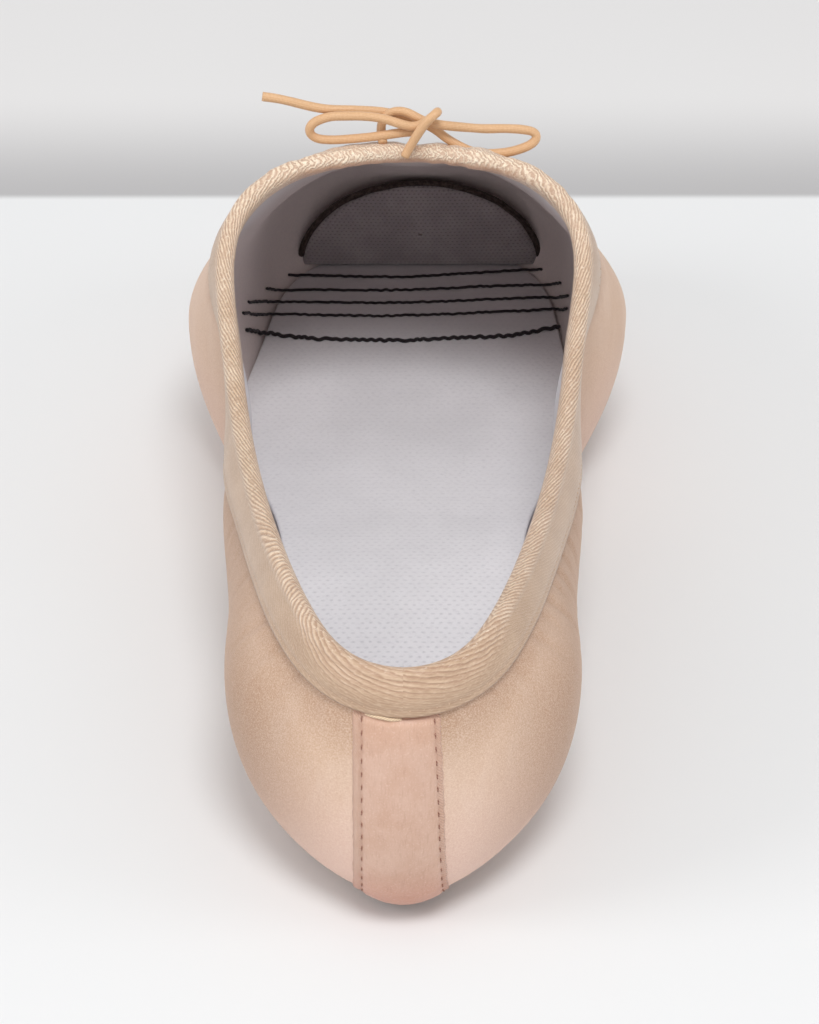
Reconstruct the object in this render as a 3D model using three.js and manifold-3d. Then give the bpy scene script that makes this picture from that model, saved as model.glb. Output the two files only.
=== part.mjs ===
// A pointe shoe, empty and standing on its sole: satin upper over a stiff toe box, leather outsole, insole,
// toe cushion, folded topline binding, heel strip and the tied ends of the drawstring.
// Millimetres, +Y towards the toe, +Z up. The origin is the middle of the shoe's box, on the floor.
import * as THREE from "three";
import Module from "manifold-3d";
import { mergeVertices } from "three/addons/utils/BufferGeometryUtils.js";

const wasm = await Module();
wasm.setup();

// Driving sizes
const LENGTH = 240;
const HEEL_WIDTH = 59;
const WAIST_WIDTH = 68;
const BALL_WIDTH = 87.2;
const TOE_WIDTH = 62;
const TOE_HEIGHT = 33;
const HEEL_HEIGHT = 48.5;
const WAIST_HEIGHT = 43.5;
const THROAT_HEIGHT = 67.8;
const VAMP_LENGTH = 70;
const TOE_SWING = 3.5; // the toe curves this far to +X
const ARCH_LIFT = 3.5;
const TOE_SPRING = 4;
const GAP = 0.3; // between pieces that touch on the real shoe

const OUTSOLE_THICKNESS = 2.7;
const OUTSOLE_INSET = 2.5; // from the fold of the upper to the outsole's edge
const OUTSOLE_BEVEL = 0.6;
const UPPER_WALL = 1.6;
const BOX_WALL = 2.6; // the stiffened toe box
const LASTING_MARGIN = 8; // turned in under the insole
const INSOLE_THICKNESS = 2.5;
const INSOLE_BEVEL = 0.7;
const INSOLE_CLEARANCE = 0.8;
const WAIST_GAP = 4; // the insole's extra clearance at the waist
const TAPE_THICKNESS = 0.7;
const BINDING_DEPTH_OUTSIDE = 8.5;
const BINDING_DEPTH_INSIDE = 2.6;
const STRIP_WIDTH_TOP = 13.4;
const STRIP_WIDTH_BOTTOM = 15.2;
const STRIP_FOOT = -0.9; // as a height on the upper's face, where -1 is the fold over the sole
const CUSHION_WIDTH = 50;
const CUSHION_HEIGHT = 20;
const CUSHION_THICKNESS = 6; // at its middle
const CORD_DIAMETER = 1.8;
const KNOT_RADIUS = 3;
const KNOT_WIDTH = 4.6;

// How finely the curved forms are cut
const SECTION_SPACING = 6.5;
const STEPS_UP_SIDE = 9;
const STEPS_UNDER = 5;
const STEPS_DRAWN_UP = 1.3; // above 1, they are closer near the topline
const STEPS_OVER_ROLL = 5;
const STEPS_ACROSS_STRIP = 6;
const CORD_SIDES = 8;
const CORD_STEP = 2; // in cord diameters

const HEEL = HEEL_WIDTH / 2;
const WAIST = WAIST_WIDTH / 2;
const BALL = BALL_WIDTH / 2;
const TOE = TOE_WIDTH / 2;
const THROAT = LENGTH - VAMP_LENGTH;
const SOLE_TOP = OUTSOLE_THICKNESS + GAP;

// The upper is drawn over ribs that stand round it, from the heel's back to the platform's middle, and are
// mirrored on the other side. A rib leaves the fold over the sole (sole), swells to the widest line (side)
// and ends at the topline (top). At is along the shoe from the heel, Out is from the axis, Up is height.
// shoulder and crown are the heights of the handles that shape it above the widest line, and reach is the
// share of the way from topline to side where the crown handle stands. gap is the insole's extra clearance,
// and band is the binding's depth as a share of BINDING_DEPTH_OUTSIDE.
const RIBS = [
  {
    rib: "heel back",
    soleAt: 0.0375 * LENGTH, soleOut: 0, gap: 0, band: 0.74,
    sideAt: 0, sideOut: 0, sideUp: 0.47 * HEEL_HEIGHT,
    topAt: 0.023 * LENGTH, topOut: 0, topUp: HEEL_HEIGHT,
    shoulder: 0.74 * HEEL_HEIGHT, crown: 0.84 * HEEL_HEIGHT, reach: 0.45,
  },
  {
    rib: "heel turn",
    soleAt: 0.06 * LENGTH, soleOut: 0.25 * HEEL, gap: 0, band: 0.74,
    sideAt: 0.029 * LENGTH, sideOut: 0.49 * HEEL, sideUp: 0.5 * HEEL_HEIGHT,
    topAt: 0.0375 * LENGTH, topOut: 0.29 * HEEL, topUp: HEEL_HEIGHT,
    shoulder: 0.76 * HEEL_HEIGHT, crown: 0.83 * HEEL_HEIGHT, reach: 0.35,
  },
  {
    rib: "heel side",
    soleAt: 0.129 * LENGTH, soleOut: 0.53 * HEEL, gap: 0, band: 0.78,
    sideAt: 0.129 * LENGTH, sideOut: HEEL, sideUp: 0.54 * HEEL_HEIGHT,
    topAt: 0.112 * LENGTH, topOut: 0.6 * HEEL, topUp: HEEL_HEIGHT,
    shoulder: 0.77 * HEEL_HEIGHT, crown: 0.84 * HEEL_HEIGHT, reach: 0.25,
  },
  {
    rib: "rear waist",
    soleAt: 0.267 * LENGTH, soleOut: 0.53 * WAIST, gap: 0.5 * WAIST_GAP, band: 0.84,
    sideAt: 0.275 * LENGTH, sideOut: 0.92 * WAIST, sideUp: 0.55 * WAIST_HEIGHT,
    topAt: 0.258 * LENGTH, topOut: 0.735 * WAIST, topUp: 1.035 * WAIST_HEIGHT,
    shoulder: 0.78 * WAIST_HEIGHT, crown: 0.87 * WAIST_HEIGHT, reach: 0.28,
  },
  {
    rib: "waist",
    soleAt: 0.408 * LENGTH, soleOut: 0.5 * WAIST, gap: WAIST_GAP, band: 0.95,
    sideAt: 0.417 * LENGTH, sideOut: 0.98 * WAIST, sideUp: 0.66 * WAIST_HEIGHT,
    topAt: 0.408 * LENGTH, topOut: 0.89 * WAIST, topUp: WAIST_HEIGHT,
    shoulder: 0.79 * WAIST_HEIGHT, crown: 0.87 * WAIST_HEIGHT, reach: 0.35,
  },
  {
    rib: "front waist",
    soleAt: 0.542 * LENGTH, soleOut: 0.75 * WAIST, gap: 0.625 * WAIST_GAP, band: 1,
    sideAt: 0.558 * LENGTH, sideOut: 0.905 * WAIST, sideUp: 0.6 * WAIST_HEIGHT,
    topAt: 0.542 * LENGTH, topOut: 0.99 * WAIST, topUp: 1.1 * WAIST_HEIGHT,
    shoulder: 0.85 * WAIST_HEIGHT, crown: 0.95 * WAIST_HEIGHT, reach: 0.45,
  },
  {
    rib: "ball",
    soleAt: 0.7 * LENGTH, soleOut: 0.65 * BALL, gap: 0, band: 1,
    sideAt: 0.733 * LENGTH, sideOut: BALL, sideUp: 0.42 * THROAT_HEIGHT,
    topAt: THROAT - 0.2 * VAMP_LENGTH, topOut: 0.78 * BALL, topUp: 0.86 * THROAT_HEIGHT,
    shoulder: 0.54 * THROAT_HEIGHT, crown: 0.72 * THROAT_HEIGHT, reach: 0.24,
  },
  {
    rib: "wing",
    soleAt: 0.82 * LENGTH, soleOut: 0.69 * BALL, gap: 0, band: 1,
    sideAt: 0.85 * LENGTH, sideOut: 0.84 * BALL, sideUp: 0.34 * THROAT_HEIGHT,
    topAt: THROAT - 0.085 * VAMP_LENGTH, topOut: 0.6 * BALL, topUp: 0.955 * THROAT_HEIGHT,
    shoulder: 0.56 * THROAT_HEIGHT, crown: 0.72 * THROAT_HEIGHT, reach: 0.3,
  },
  {
    rib: "toe side",
    soleAt: 0.9 * LENGTH, soleOut: 0.77 * TOE, gap: 0, band: 1,
    sideAt: 0.946 * LENGTH, sideOut: TOE, sideUp: 0.58 * TOE_HEIGHT,
    topAt: THROAT - 0.028 * VAMP_LENGTH, topOut: 0.35 * BALL, topUp: 0.99 * THROAT_HEIGHT,
    shoulder: 1.12 * TOE_HEIGHT, crown: 0.63 * THROAT_HEIGHT, reach: 0.62,
  },
  {
    rib: "toe corner",
    soleAt: 0.9375 * LENGTH, soleOut: 0.52 * TOE, gap: 0, band: 1,
    sideAt: 0.9896 * LENGTH, sideOut: 0.71 * TOE, sideUp: 0.55 * TOE_HEIGHT,
    topAt: THROAT - 0.007 * VAMP_LENGTH, topOut: 0.16 * BALL, topUp: THROAT_HEIGHT,
    shoulder: 1.17 * TOE_HEIGHT, crown: 1.21 * TOE_HEIGHT, reach: 0.8,
  },
  {
    rib: "platform",
    soleAt: 0.954 * LENGTH, soleOut: 0, gap: 0, band: 1,
    sideAt: LENGTH, sideOut: 0, sideUp: 0.55 * TOE_HEIGHT,
    topAt: THROAT, topOut: 0, topUp: THROAT_HEIGHT,
    shoulder: 1.17 * TOE_HEIGHT, crown: 1.14 * TOE_HEIGHT, reach: 0.82,
  },
];

// The sole's line from the side: at is along the shoe, lift is above the flat of the heel and forefoot.
const SOLE_LINE = [
  { at: 0, lift: 0 },
  { at: 0.25 * LENGTH, lift: 0 },
  { at: 0.42 * LENGTH, lift: ARCH_LIFT },
  { at: 0.62 * LENGTH, lift: 0 },
  { at: 0.8 * LENGTH, lift: 0 },
  { at: LENGTH, lift: TOE_SPRING },
];

// A curve of values that passes through each knot, keeps its curvature even and repeats after period.
function periodicSpline(knots, values, period) {
  const n = knots.length;
  const width = knots.map((k, i) => (i + 1 < n ? knots[i + 1] : knots[0] + period) - k);
  const rows = knots.map((_, i) => {
    const before = width[(i + n - 1) % n];
    const after = width[i];
    const row = new Array(n + 1).fill(0);
    row[(i + n - 1) % n] += before;
    row[i] += 2 * (before + after);
    row[(i + 1) % n] += after;
    row[n] = 6 * ((values[(i + 1) % n] - values[i]) / after - (values[i] - values[(i + n - 1) % n]) / before);
    return row;
  });
  for (let i = 0; i < n; i++)
    for (let j = 0; j < n; j++) {
      if (j === i) continue;
      const share = rows[j][i] / rows[i][i];
      for (let k = i; k <= n; k++) rows[j][k] -= share * rows[i][k];
    }
  const bend = rows.map((row, i) => row[n] / row[i]);
  return (place) => {
    const i = ((Math.floor(place) % n) + n) % n;
    const next = (i + 1) % n;
    const b = place - Math.floor(place);
    const a = 1 - b;
    const curve = ((a ** 3 - a) * bend[i] + (b ** 3 - b) * bend[next]) * width[i] ** 2;
    return a * values[i] + b * values[next] + curve / 6;
  };
}

// The ribs' columns as curves round the shoe. A place is a rib's number, from 0 at the heel's back, and
// PLACES of them go once round.
const RIGHT = RIBS.length - 1;
const PLACES = 2 * RIGHT;
function ribsRoundTheShoe() {
  const mirrored = RIBS.slice(1, RIGHT).reverse().map((row) => (
    { ...row, soleOut: -row.soleOut, sideOut: -row.sideOut, topOut: -row.topOut }
  ));
  return [...RIBS, ...mirrored];
}

function distancesRound(ring) {
  const distances = [0];
  ring.forEach((from, i) => {
    const to = ring[(i + 1) % ring.length];
    distances.push(distances[i] + Math.hypot(to.sideAt - from.sideAt, to.sideOut - from.sideOut));
  });
  return distances;
}

const RING = ribsRoundTheShoe();
const DISTANCES = distancesRound(RING);

function splineColumns() {
  const knots = DISTANCES.slice(0, PLACES);
  const columns = {};
  for (const name of Object.keys(RING[0]).filter((key) => key !== "rib"))
    columns[name] = periodicSpline(knots, RING.map((row) => row[name]), DISTANCES[PLACES]);
  return columns;
}
const COLUMNS = splineColumns();

function smooth(from, to, x) {
  return THREE.MathUtils.smoothstep(x, from, to);
}

function soleLift(at) {
  const next = SOLE_LINE.findIndex((row) => row.at > at);
  if (next < 0) return SOLE_LINE[SOLE_LINE.length - 1].lift;
  if (next === 0) return SOLE_LINE[0].lift;
  const a = SOLE_LINE[next - 1];
  const b = SOLE_LINE[next];
  return a.lift + (b.lift - a.lift) * smooth(a.at, b.at, at);
}

function swing(at) {
  const start = 0.54 * LENGTH;
  return TOE_SWING * Math.max(0, (at - start) / (LENGTH - start)) ** 1.5;
}

function bezier(a, b, c, d, t) {
  const s = 1 - t;
  return s ** 3 * a + 3 * s * s * t * b + 3 * s * t * t * c + t ** 3 * d;
}

// A point on the upper's outer face. height runs from -2 at the margin's inner edge, -1 at the fold over
// the sole and 0 at the widest line to 1 at the topline.
const UNDER_HANDLE = 0.55;
const LOWER_HANDLE = 0.6;
function facePoint(place, height) {
  const c = (name) => COLUMNS[name](place);
  const sole = new THREE.Vector3(c("soleOut"), c("soleAt"), 0);
  sole.z = SOLE_TOP + soleLift(sole.y);
  const side = new THREE.Vector3(c("sideOut"), c("sideAt"), c("sideUp"));
  const point = new THREE.Vector3();
  if (height < -1) {
    const inward = new THREE.Vector3(sole.x - side.x, sole.y - side.y, 0).normalize();
    point.copy(sole).addScaledVector(inward, LASTING_MARGIN * (-1 - height));
    point.z = SOLE_TOP + soleLift(point.y);
  } else if (height < 0) {
    const t = height + 1;
    const out = (a, b) => bezier(a, a + UNDER_HANDLE * (b - a), b, b, t);
    point.set(out(sole.x, side.x), out(sole.y, side.y), 0);
    point.z = bezier(sole.z, sole.z, side.z - LOWER_HANDLE * (side.z - sole.z), side.z, t);
  } else {
    const top = new THREE.Vector3(c("topOut"), c("topAt"), c("topUp"));
    const reach = c("reach");
    const out = (a, b) => bezier(a, a, b + reach * (a - b), b, height);
    point.set(out(side.x, top.x), out(side.y, top.y), 0);
    point.z = bezier(side.z, c("shoulder"), c("crown"), top.z, height);
  }
  point.x += swing(point.y);
  return point;
}

const STEP = 1e-3;
function faceNormal(place, height) {
  const low = Math.max(-2, height - STEP);
  const high = Math.min(1, height + STEP);
  const round = facePoint(place + STEP, height).sub(facePoint(place - STEP, height));
  const up = facePoint(place, high).sub(facePoint(place, low));
  return round.cross(up).normalize();
}

// The face moved out by lift, or in where lift is negative.
function liftedPoint(place, height, lift) {
  return facePoint(place, height).addScaledVector(faceNormal(place, height), lift);
}

function wallAt(along) {
  return UPPER_WALL + (BOX_WALL - UPPER_WALL) * smooth(THROAT, THROAT + 0.35 * VAMP_LENGTH, along);
}

function innerPoint(place, height) {
  return liftedPoint(place, height, -wallAt(facePoint(place, height).y));
}

// The height value that lies depth below the topline, measured down the rib.
function heightBelow(place, depth) {
  const step = 0.01;
  let height = 1;
  let gone = 0;
  let last = facePoint(place, height);
  for (;;) {
    const next = facePoint(place, height - step);
    const length = next.distanceTo(last);
    if (gone + length >= depth) return height - (step * (depth - gone)) / length;
    gone += length;
    height -= step;
    last = next;
  }
}

// Finds where rises(x) passes zero between low and high.
function solve(rises, low, high) {
  for (let i = 0; i < 40; i++) {
    const middle = (low + high) / 2;
    if (rises(middle) > 0) high = middle;
    else low = middle;
  }
  return (low + high) / 2;
}

// The places of the sections, evenly spaced between ribs.
function sectionPlaces() {
  const found = [];
  for (let rib = 0; rib < PLACES; rib++) {
    const steps = Math.ceil((DISTANCES[rib + 1] - DISTANCES[rib]) / SECTION_SPACING);
    for (let i = 0; i < steps; i++) found.push(rib + i / steps);
  }
  return found;
}
const SECTIONS = sectionPlaces();

// A solid's triangles, with its corners shared and every face turned outward.
function solid(points, faces) {
  const geometry = new THREE.BufferGeometry();
  const corners = points.flatMap((p) => [p.x, p.y, p.z]);
  geometry.setAttribute("position", new THREE.Float32BufferAttribute(corners, 3));
  let volume = 0;
  for (const [a, b, c] of faces) volume += points[a].dot(points[b].clone().cross(points[c]));
  geometry.setIndex(faces.flatMap(([a, b, c]) => (volume > 0 ? [a, b, c] : [a, c, b])));
  return geometry;
}

// The skin between neighbouring sections of as many points each.
function skin(sections, across, ring) {
  const faces = [];
  for (let i = 0; i < (ring ? sections : sections - 1); i++)
    for (let j = 0; j < across; j++) {
      const here = i * across;
      const next = ((i + 1) % sections) * across;
      const k = (j + 1) % across;
      faces.push([here + j, here + k, next + k], [here + j, next + k, next + j]);
    }
  return faces;
}

function ringSolid(sections) {
  return solid(sections.flat(), skin(sections.length, sections[0].length, true));
}

// A bar with a section of two equal rows of points, one row back along the other, closed at both ends.
function barSolid(sections) {
  const across = sections[0].length;
  const faces = skin(sections.length, across, false);
  const last = (sections.length - 1) * across;
  for (let j = 0; j + 1 < across / 2; j++) {
    const [a, b, c, d] = [j, j + 1, across - 2 - j, across - 1 - j];
    faces.push([a, c, b], [a, d, c], [last + a, last + b, last + c], [last + a, last + c, last + d]);
  }
  return solid(sections.flat(), faces);
}

// A plate from loops, lowest first, that start at the heel's back and whose left and right points pair up.
function plateSolid(loops) {
  const count = loops[0].length;
  const faces = skin(loops.length, count, false);
  const top = (loops.length - 1) * count;
  for (let right = 0; right < count / 2; right++) {
    const left = count - right;
    const crossing = [[right, right + 1, left - 1], [right, left - 1, left % count]];
    for (const [a, b, c] of crossing.filter((face) => new Set(face).size === 3)) {
      faces.push([a, c, b], [top + a, top + b, top + c]);
    }
  }
  return solid(loops.flat(), faces);
}

// From a point on the fold or the wall towards the shoe's inside, level.
function inward(place, point, distance) {
  const out = new THREE.Vector3(COLUMNS.sideOut(place), COLUMNS.sideAt(place), 0);
  const under = new THREE.Vector3(COLUMNS.soleOut(place), COLUMNS.soleAt(place), 0);
  return point.clone().addScaledVector(under.sub(out).normalize(), distance);
}

function upperGeometry() {
  const heights = [-2, -1.5];
  for (let i = 0; i < STEPS_UNDER; i++) heights.push(-1 + i / STEPS_UNDER);
  for (let i = STEPS_UP_SIDE; i >= 0; i--) heights.push(1 - (i / STEPS_UP_SIDE) ** STEPS_DRAWN_UP);
  return ringSolid(SECTIONS.map((place) => {
    const outside = heights.map((height) => facePoint(place, height));
    const inside = heights.map((height) => innerPoint(place, height)).reverse();
    return [...outside, ...inside];
  }));
}

// The outsole's edge is bevelled top and bottom.
function outsoleGeometry() {
  const edge = [
    { level: 0, inset: OUTSOLE_BEVEL },
    { level: OUTSOLE_BEVEL, inset: 0 },
    { level: OUTSOLE_THICKNESS - OUTSOLE_BEVEL, inset: 0 },
    { level: OUTSOLE_THICKNESS, inset: OUTSOLE_BEVEL },
  ];
  return plateSolid(edge.map(({ level, inset }) => SECTIONS.map((place) => {
    const point = inward(place, facePoint(place, -1), OUTSOLE_INSET + inset);
    return point.setZ(soleLift(point.y) + level);
  })));
}

// The top of the turned-in margin, on which the insole lies.
function marginTop(along) {
  return SOLE_TOP + soleLift(along) + wallAt(along);
}

function insoleLoop(level, inset) {
  return SECTIONS.map((place) => {
    const above = (height) => {
      const point = innerPoint(place, height);
      return point.z - marginTop(point.y) - level;
    };
    const wall = innerPoint(place, solve(above, -1, 0.5));
    const point = inward(place, wall, INSOLE_CLEARANCE + COLUMNS.gap(place) + inset);
    return point.setZ(marginTop(point.y) + level);
  });
}

// thicker and wider make the room that a neighbour leaves round it.
function insoleGeometry(thicker = 0, wider = 0) {
  const top = GAP + INSOLE_THICKNESS + thicker;
  return plateSolid([
    insoleLoop(GAP, INSOLE_BEVEL - wider),
    insoleLoop(GAP + INSOLE_BEVEL, -wider),
    insoleLoop(top - INSOLE_BEVEL, -wider),
    insoleLoop(top, INSOLE_BEVEL - wider),
  ]);
}

// The room inside the upper, a gap off its walls.
function roomGeometry() {
  const loops = [];
  for (let i = 0; i <= STEPS_UP_SIDE; i++) {
    const height = -1 + (2 * i) / STEPS_UP_SIDE;
    loops.push(SECTIONS.map((place) => liftedPoint(place, height, -wallAt(facePoint(place, height).y) - GAP)));
  }
  return plateSolid(loops);
}

// The tape runs up the outside, over the edge and down the inside, round the edge's rim.
function bindingGeometry() {
  const cover = GAP + TAPE_THICKNESS;
  return ringSolid(SECTIONS.map((place) => {
    const wall = wallAt(facePoint(place, 1).y);
    const outward = faceNormal(place, 1);
    const up = facePoint(place, 1).sub(facePoint(place, 1 - STEP)).normalize();
    const rim = liftedPoint(place, 1, -wall / 2);
    const roll = wall / 2 + cover;
    const depth = BINDING_DEPTH_OUTSIDE * COLUMNS.band(place);
    const at = (below, lift) => liftedPoint(place, heightBelow(place, below), lift);
    const onRim = (out, rise) => rim.clone().addScaledVector(outward, out).addScaledVector(up, rise);
    const section = [at(depth, cover), at(depth / 2, cover)];
    for (let i = 0; i <= STEPS_OVER_ROLL; i++) {
      const turn = (Math.PI * i) / STEPS_OVER_ROLL;
      section.push(onRim(roll * Math.cos(turn), roll * Math.sin(turn)));
    }
    section.push(at(BINDING_DEPTH_INSIDE / 2, -wall - cover), at(BINDING_DEPTH_INSIDE, -wall - cover));
    section.push(at(BINDING_DEPTH_INSIDE, -wall - GAP), at(BINDING_DEPTH_INSIDE / 2, -wall - GAP));
    section.push(onRim(-wall / 2 - GAP, GAP), onRim(wall / 2 + GAP, GAP));
    section.push(at(depth / 2, GAP), at(depth, GAP));
    return section;
  }));
}

// The strip is cut between two larger forms of the heel's face, from the fold to the binding.
function heelStripGeometry() {
  const top = heightBelow(0, BINDING_DEPTH_OUTSIDE + GAP);
  const shares = Array.from({ length: STEPS_ACROSS_STRIP + 1 }, (_, i) => (2 * i) / STEPS_ACROSS_STRIP - 1);
  const sections = [];
  for (let i = 0; i <= STEPS_UP_SIDE; i++) {
    const height = THREE.MathUtils.lerp(STRIP_FOOT, top, i / STEPS_UP_SIDE);
    const half = THREE.MathUtils.lerp(STRIP_WIDTH_BOTTOM, STRIP_WIDTH_TOP, i / STEPS_UP_SIDE) / 2;
    const row = shares.map((share) => solve((place) => facePoint(place, height).x - share * half, -2, 2));
    const outside = row.map((place) => liftedPoint(place, height, GAP + TAPE_THICKNESS));
    const inside = row.map((place) => liftedPoint(place, height, GAP)).reverse();
    sections.push([...outside, ...inside]);
  }
  return barSolid(sections);
}

function toManifold(geometry) {
  const bare = geometry.clone();
  bare.deleteAttribute("normal");
  bare.deleteAttribute("uv");
  const merged = mergeVertices(bare, 1e-4);
  const vertProperties = new Float32Array(merged.attributes.position.array);
  const triVerts = new Uint32Array(merged.index.array);
  return new wasm.Manifold(new wasm.Mesh({ numProp: 3, vertProperties, triVerts }));
}

function fromManifold(body) {
  const mesh = body.getMesh();
  const geometry = new THREE.BufferGeometry();
  geometry.setAttribute("position", new THREE.BufferAttribute(new Float32Array(mesh.vertProperties), 3));
  geometry.setIndex(new THREE.BufferAttribute(new Uint32Array(mesh.triVerts), 1));
  return geometry;
}

// The cushion is a half round that stands on the insole, with its flat face to the foot and its back in
// the shape of the platform's inside.
function cushionGeometry() {
  const wall = innerPoint(RIGHT, 0);
  const front = wall.y - GAP - CUSHION_THICKNESS;
  const base = marginTop(front) + GAP + INSOLE_THICKNESS;
  const half = CUSHION_WIDTH / 2;
  const outline = new THREE.Shape();
  outline.moveTo(half, -GAP);
  outline.absellipse(0, 0, half, CUSHION_HEIGHT, 0, Math.PI, false, 0);
  outline.lineTo(-half, -GAP);
  const depth = 2 * CUSHION_THICKNESS;
  const blank = new THREE.ExtrudeGeometry(outline, { depth, bevelEnabled: false, curveSegments: 16 });
  blank.rotateX(Math.PI / 2);
  blank.translate(swing(wall.y), front + depth, base);
  const inside = toManifold(blank).intersect(toManifold(roomGeometry()));
  return fromManifold(inside.subtract(toManifold(insoleGeometry(GAP, INSOLE_CLEARANCE))));
}

// The drawstring's points are steps right, forward and up from the throat's edge.
function cordCurve(points) {
  const throat = new THREE.Vector3(swing(THROAT), THROAT, THROAT_HEIGHT);
  return new THREE.CatmullRomCurve3(points.map((p) => new THREE.Vector3(...p).add(throat)), false, "centripetal");
}

function cordGeometry(points) {
  const curve = cordCurve(points);
  const section = new THREE.Shape();
  for (let i = 0; i < CORD_SIDES; i++) {
    const turn = (2 * Math.PI * i) / CORD_SIDES;
    section[i ? "lineTo" : "moveTo"]((CORD_DIAMETER / 2) * Math.cos(turn), (CORD_DIAMETER / 2) * Math.sin(turn));
  }
  const steps = Math.ceil(curve.getLength() / (CORD_STEP * CORD_DIAMETER));
  return new THREE.ExtrudeGeometry(section, { steps, extrudePath: curve, curveSegments: 1 });
}

// Two turns of cord, drawn tight round the strands.
function knotGeometry() {
  const profile = [new THREE.Vector2(0, -KNOT_WIDTH / 2)];
  for (const turn of [-1, 1])
    for (let i = turn > 0 ? 1 : 0; i <= 4; i++) {
      const angle = (Math.PI * i) / 4;
      const up = turn * KNOT_WIDTH / 4 - (KNOT_WIDTH / 4) * Math.cos(angle);
      profile.push(new THREE.Vector2(KNOT_RADIUS - CORD_DIAMETER / 2 + (CORD_DIAMETER / 2) * Math.sin(angle), up));
    }
  profile.push(new THREE.Vector2(0, KNOT_WIDTH / 2));
  const geometry = new THREE.LatheGeometry(profile, 12);
  geometry.rotateZ(Math.PI / 2);
  return geometry;
}

const KNOT = [3.3, 1.4, 4.4];
const CORDS = {
  drawstring_left_loop: [
    [0.7, 0.6, 5.5], [-4.5, 1.2, 6], [-8.5, 1.4, 6.5], [-12.5, 1.5, 6.4], [-16.4, 1.6, 5.8], [-18.6, 1.8, 4.5],
    [-18.9, 1.9, 3], [-17.7, 1.9, 1.9], [-14.9, 2, 1.5], [-10.1, 1.9, 2], [-5.3, 1.3, 2.9], [0.7, 1.1, 3.4],
  ],
  drawstring_right_loop: [
    [5.9, 1.2, 5.4], [11.5, 1.3, 4.4], [15.4, 1.4, 3.9], [23.3, 1.8, 3.4], [25.5, 1.9, 2],
    [24.5, 1.7, 0.7], [21, 1.6, -0.5], [15.4, 1.6, -0.5], [10.6, 1.8, 0.9], [8.3, 1.6, 2], [6.4, 1.1, 2.8],
  ],
  drawstring_left_end: [
    [0.7, 3, 4.9], [-4.6, 3.9, 6], [-10.1, 3.9, 6.6], [-16.4, 3.3, 7.5], [-22.3, 2.5, 9.2], [-27.9, 2, 10.5],
  ],
  drawstring_right_end: [[0, -3.4, 0.2], [0.8, -3, 2.2], [1.9, -2.9, 4.5], [3.6, -2.9, 6.9], [5.6, -2.3, 8.8]],
  drawstring_riser: [[-4.6, 3.4, 1.7], [-4.4, 4.2, 2.6], [-3.4, 4.5, 3.2], [-1.4, 4.2, 3.3], [0.7, 3.6, 2.8]],
};

function material(color, roughness, metalness = 0) {
  return new THREE.MeshStandardMaterial({ color, roughness, metalness });
}

const satin = material(0xd8bba9, 0.45);
const tape = material(0xd5b69e, 0.5);
const leather = material(0xb9a48c, 0.8);
const board = material(0xd8d4d8, 0.9);
const knit = material(0x4a4547, 0.95);
const cord = material(0xdbb092, 0.6);

const shoe = new THREE.Group();
function add(name, geometry, finish, parent = shoe) {
  const mesh = new THREE.Mesh(geometry, finish);
  mesh.name = name;
  parent.add(mesh);
  return mesh;
}

add("outsole", outsoleGeometry(), leather);
add("upper", upperGeometry(), satin);
add("insole", insoleGeometry(), board);
add("toe_cushion", cushionGeometry(), knit);
add("topline_binding", bindingGeometry(), tape);
add("heel_strip", heelStripGeometry(), tape);

const box = new THREE.Box3().setFromObject(shoe);
shoe.position.set(-(box.min.x + box.max.x) / 2, -(box.min.y + box.max.y) / 2, -box.min.z);

const drawstring = new THREE.Group();
const knot = add("drawstring_knot", knotGeometry(), cord, drawstring);
knot.position.set(...KNOT).add(new THREE.Vector3(swing(THROAT), THROAT, THROAT_HEIGHT));
for (const [name, points] of Object.entries(CORDS)) add(name, cordGeometry(points), cord, drawstring);
shoe.add(drawstring);

export default shoe;
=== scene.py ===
"""A satin pointe shoe, standing empty: fine surfaces, finishes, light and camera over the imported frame."""

import math

import bmesh
import bpy
import numpy as np
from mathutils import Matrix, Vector


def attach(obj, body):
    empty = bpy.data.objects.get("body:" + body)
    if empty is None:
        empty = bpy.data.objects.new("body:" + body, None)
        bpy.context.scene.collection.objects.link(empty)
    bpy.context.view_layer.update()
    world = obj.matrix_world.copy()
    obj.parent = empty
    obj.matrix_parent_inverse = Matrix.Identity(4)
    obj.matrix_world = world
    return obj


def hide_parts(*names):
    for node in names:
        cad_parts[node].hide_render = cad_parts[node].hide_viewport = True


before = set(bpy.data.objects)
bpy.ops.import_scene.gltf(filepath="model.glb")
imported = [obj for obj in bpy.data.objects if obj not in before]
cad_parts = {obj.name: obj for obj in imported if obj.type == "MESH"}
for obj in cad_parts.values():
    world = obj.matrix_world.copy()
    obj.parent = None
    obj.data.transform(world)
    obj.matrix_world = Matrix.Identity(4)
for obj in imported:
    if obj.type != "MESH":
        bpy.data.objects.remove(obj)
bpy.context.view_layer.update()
MM = 0.001

# The shoe's sizes in millimetres, measured from the heel's back, +Y to the toe
LENGTH = 240
HEEL_WIDTH = 59
WAIST_WIDTH = 68
BALL_WIDTH = 87.2
TOE_WIDTH = 62
TOE_HEIGHT = 33
HEEL_HEIGHT = 48.5
WAIST_HEIGHT = 43.5
THROAT_HEIGHT = 67.8
VAMP_LENGTH = 70
TOE_SWING = 3.5
ARCH_LIFT = 3.5
TOE_SPRING = 4
GAP = 0.3
OUTSOLE_THICKNESS = 2.7
OUTSOLE_INSET = 2.5
UPPER_WALL = 1.6
BOX_WALL = 2.6
LASTING_MARGIN = 8
INSOLE_THICKNESS = 2.5
INSOLE_CLEARANCE = 0.8
INSOLE_WAIST_SHARE = 0.3  # of the waist's gap, that the soft insole leaves
WAIST_GAP = 4
TAPE_THICKNESS = 0.7
BINDING_DEPTH_OUTSIDE = 8.5
BINDING_DEPTH_INSIDE = 2.6
STRIP_FOOT = -0.9
STRIP_SHIFT = -0.9  # the strip's middle, a little off the heel's
CUSHION_WIDTH = 50
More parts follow.
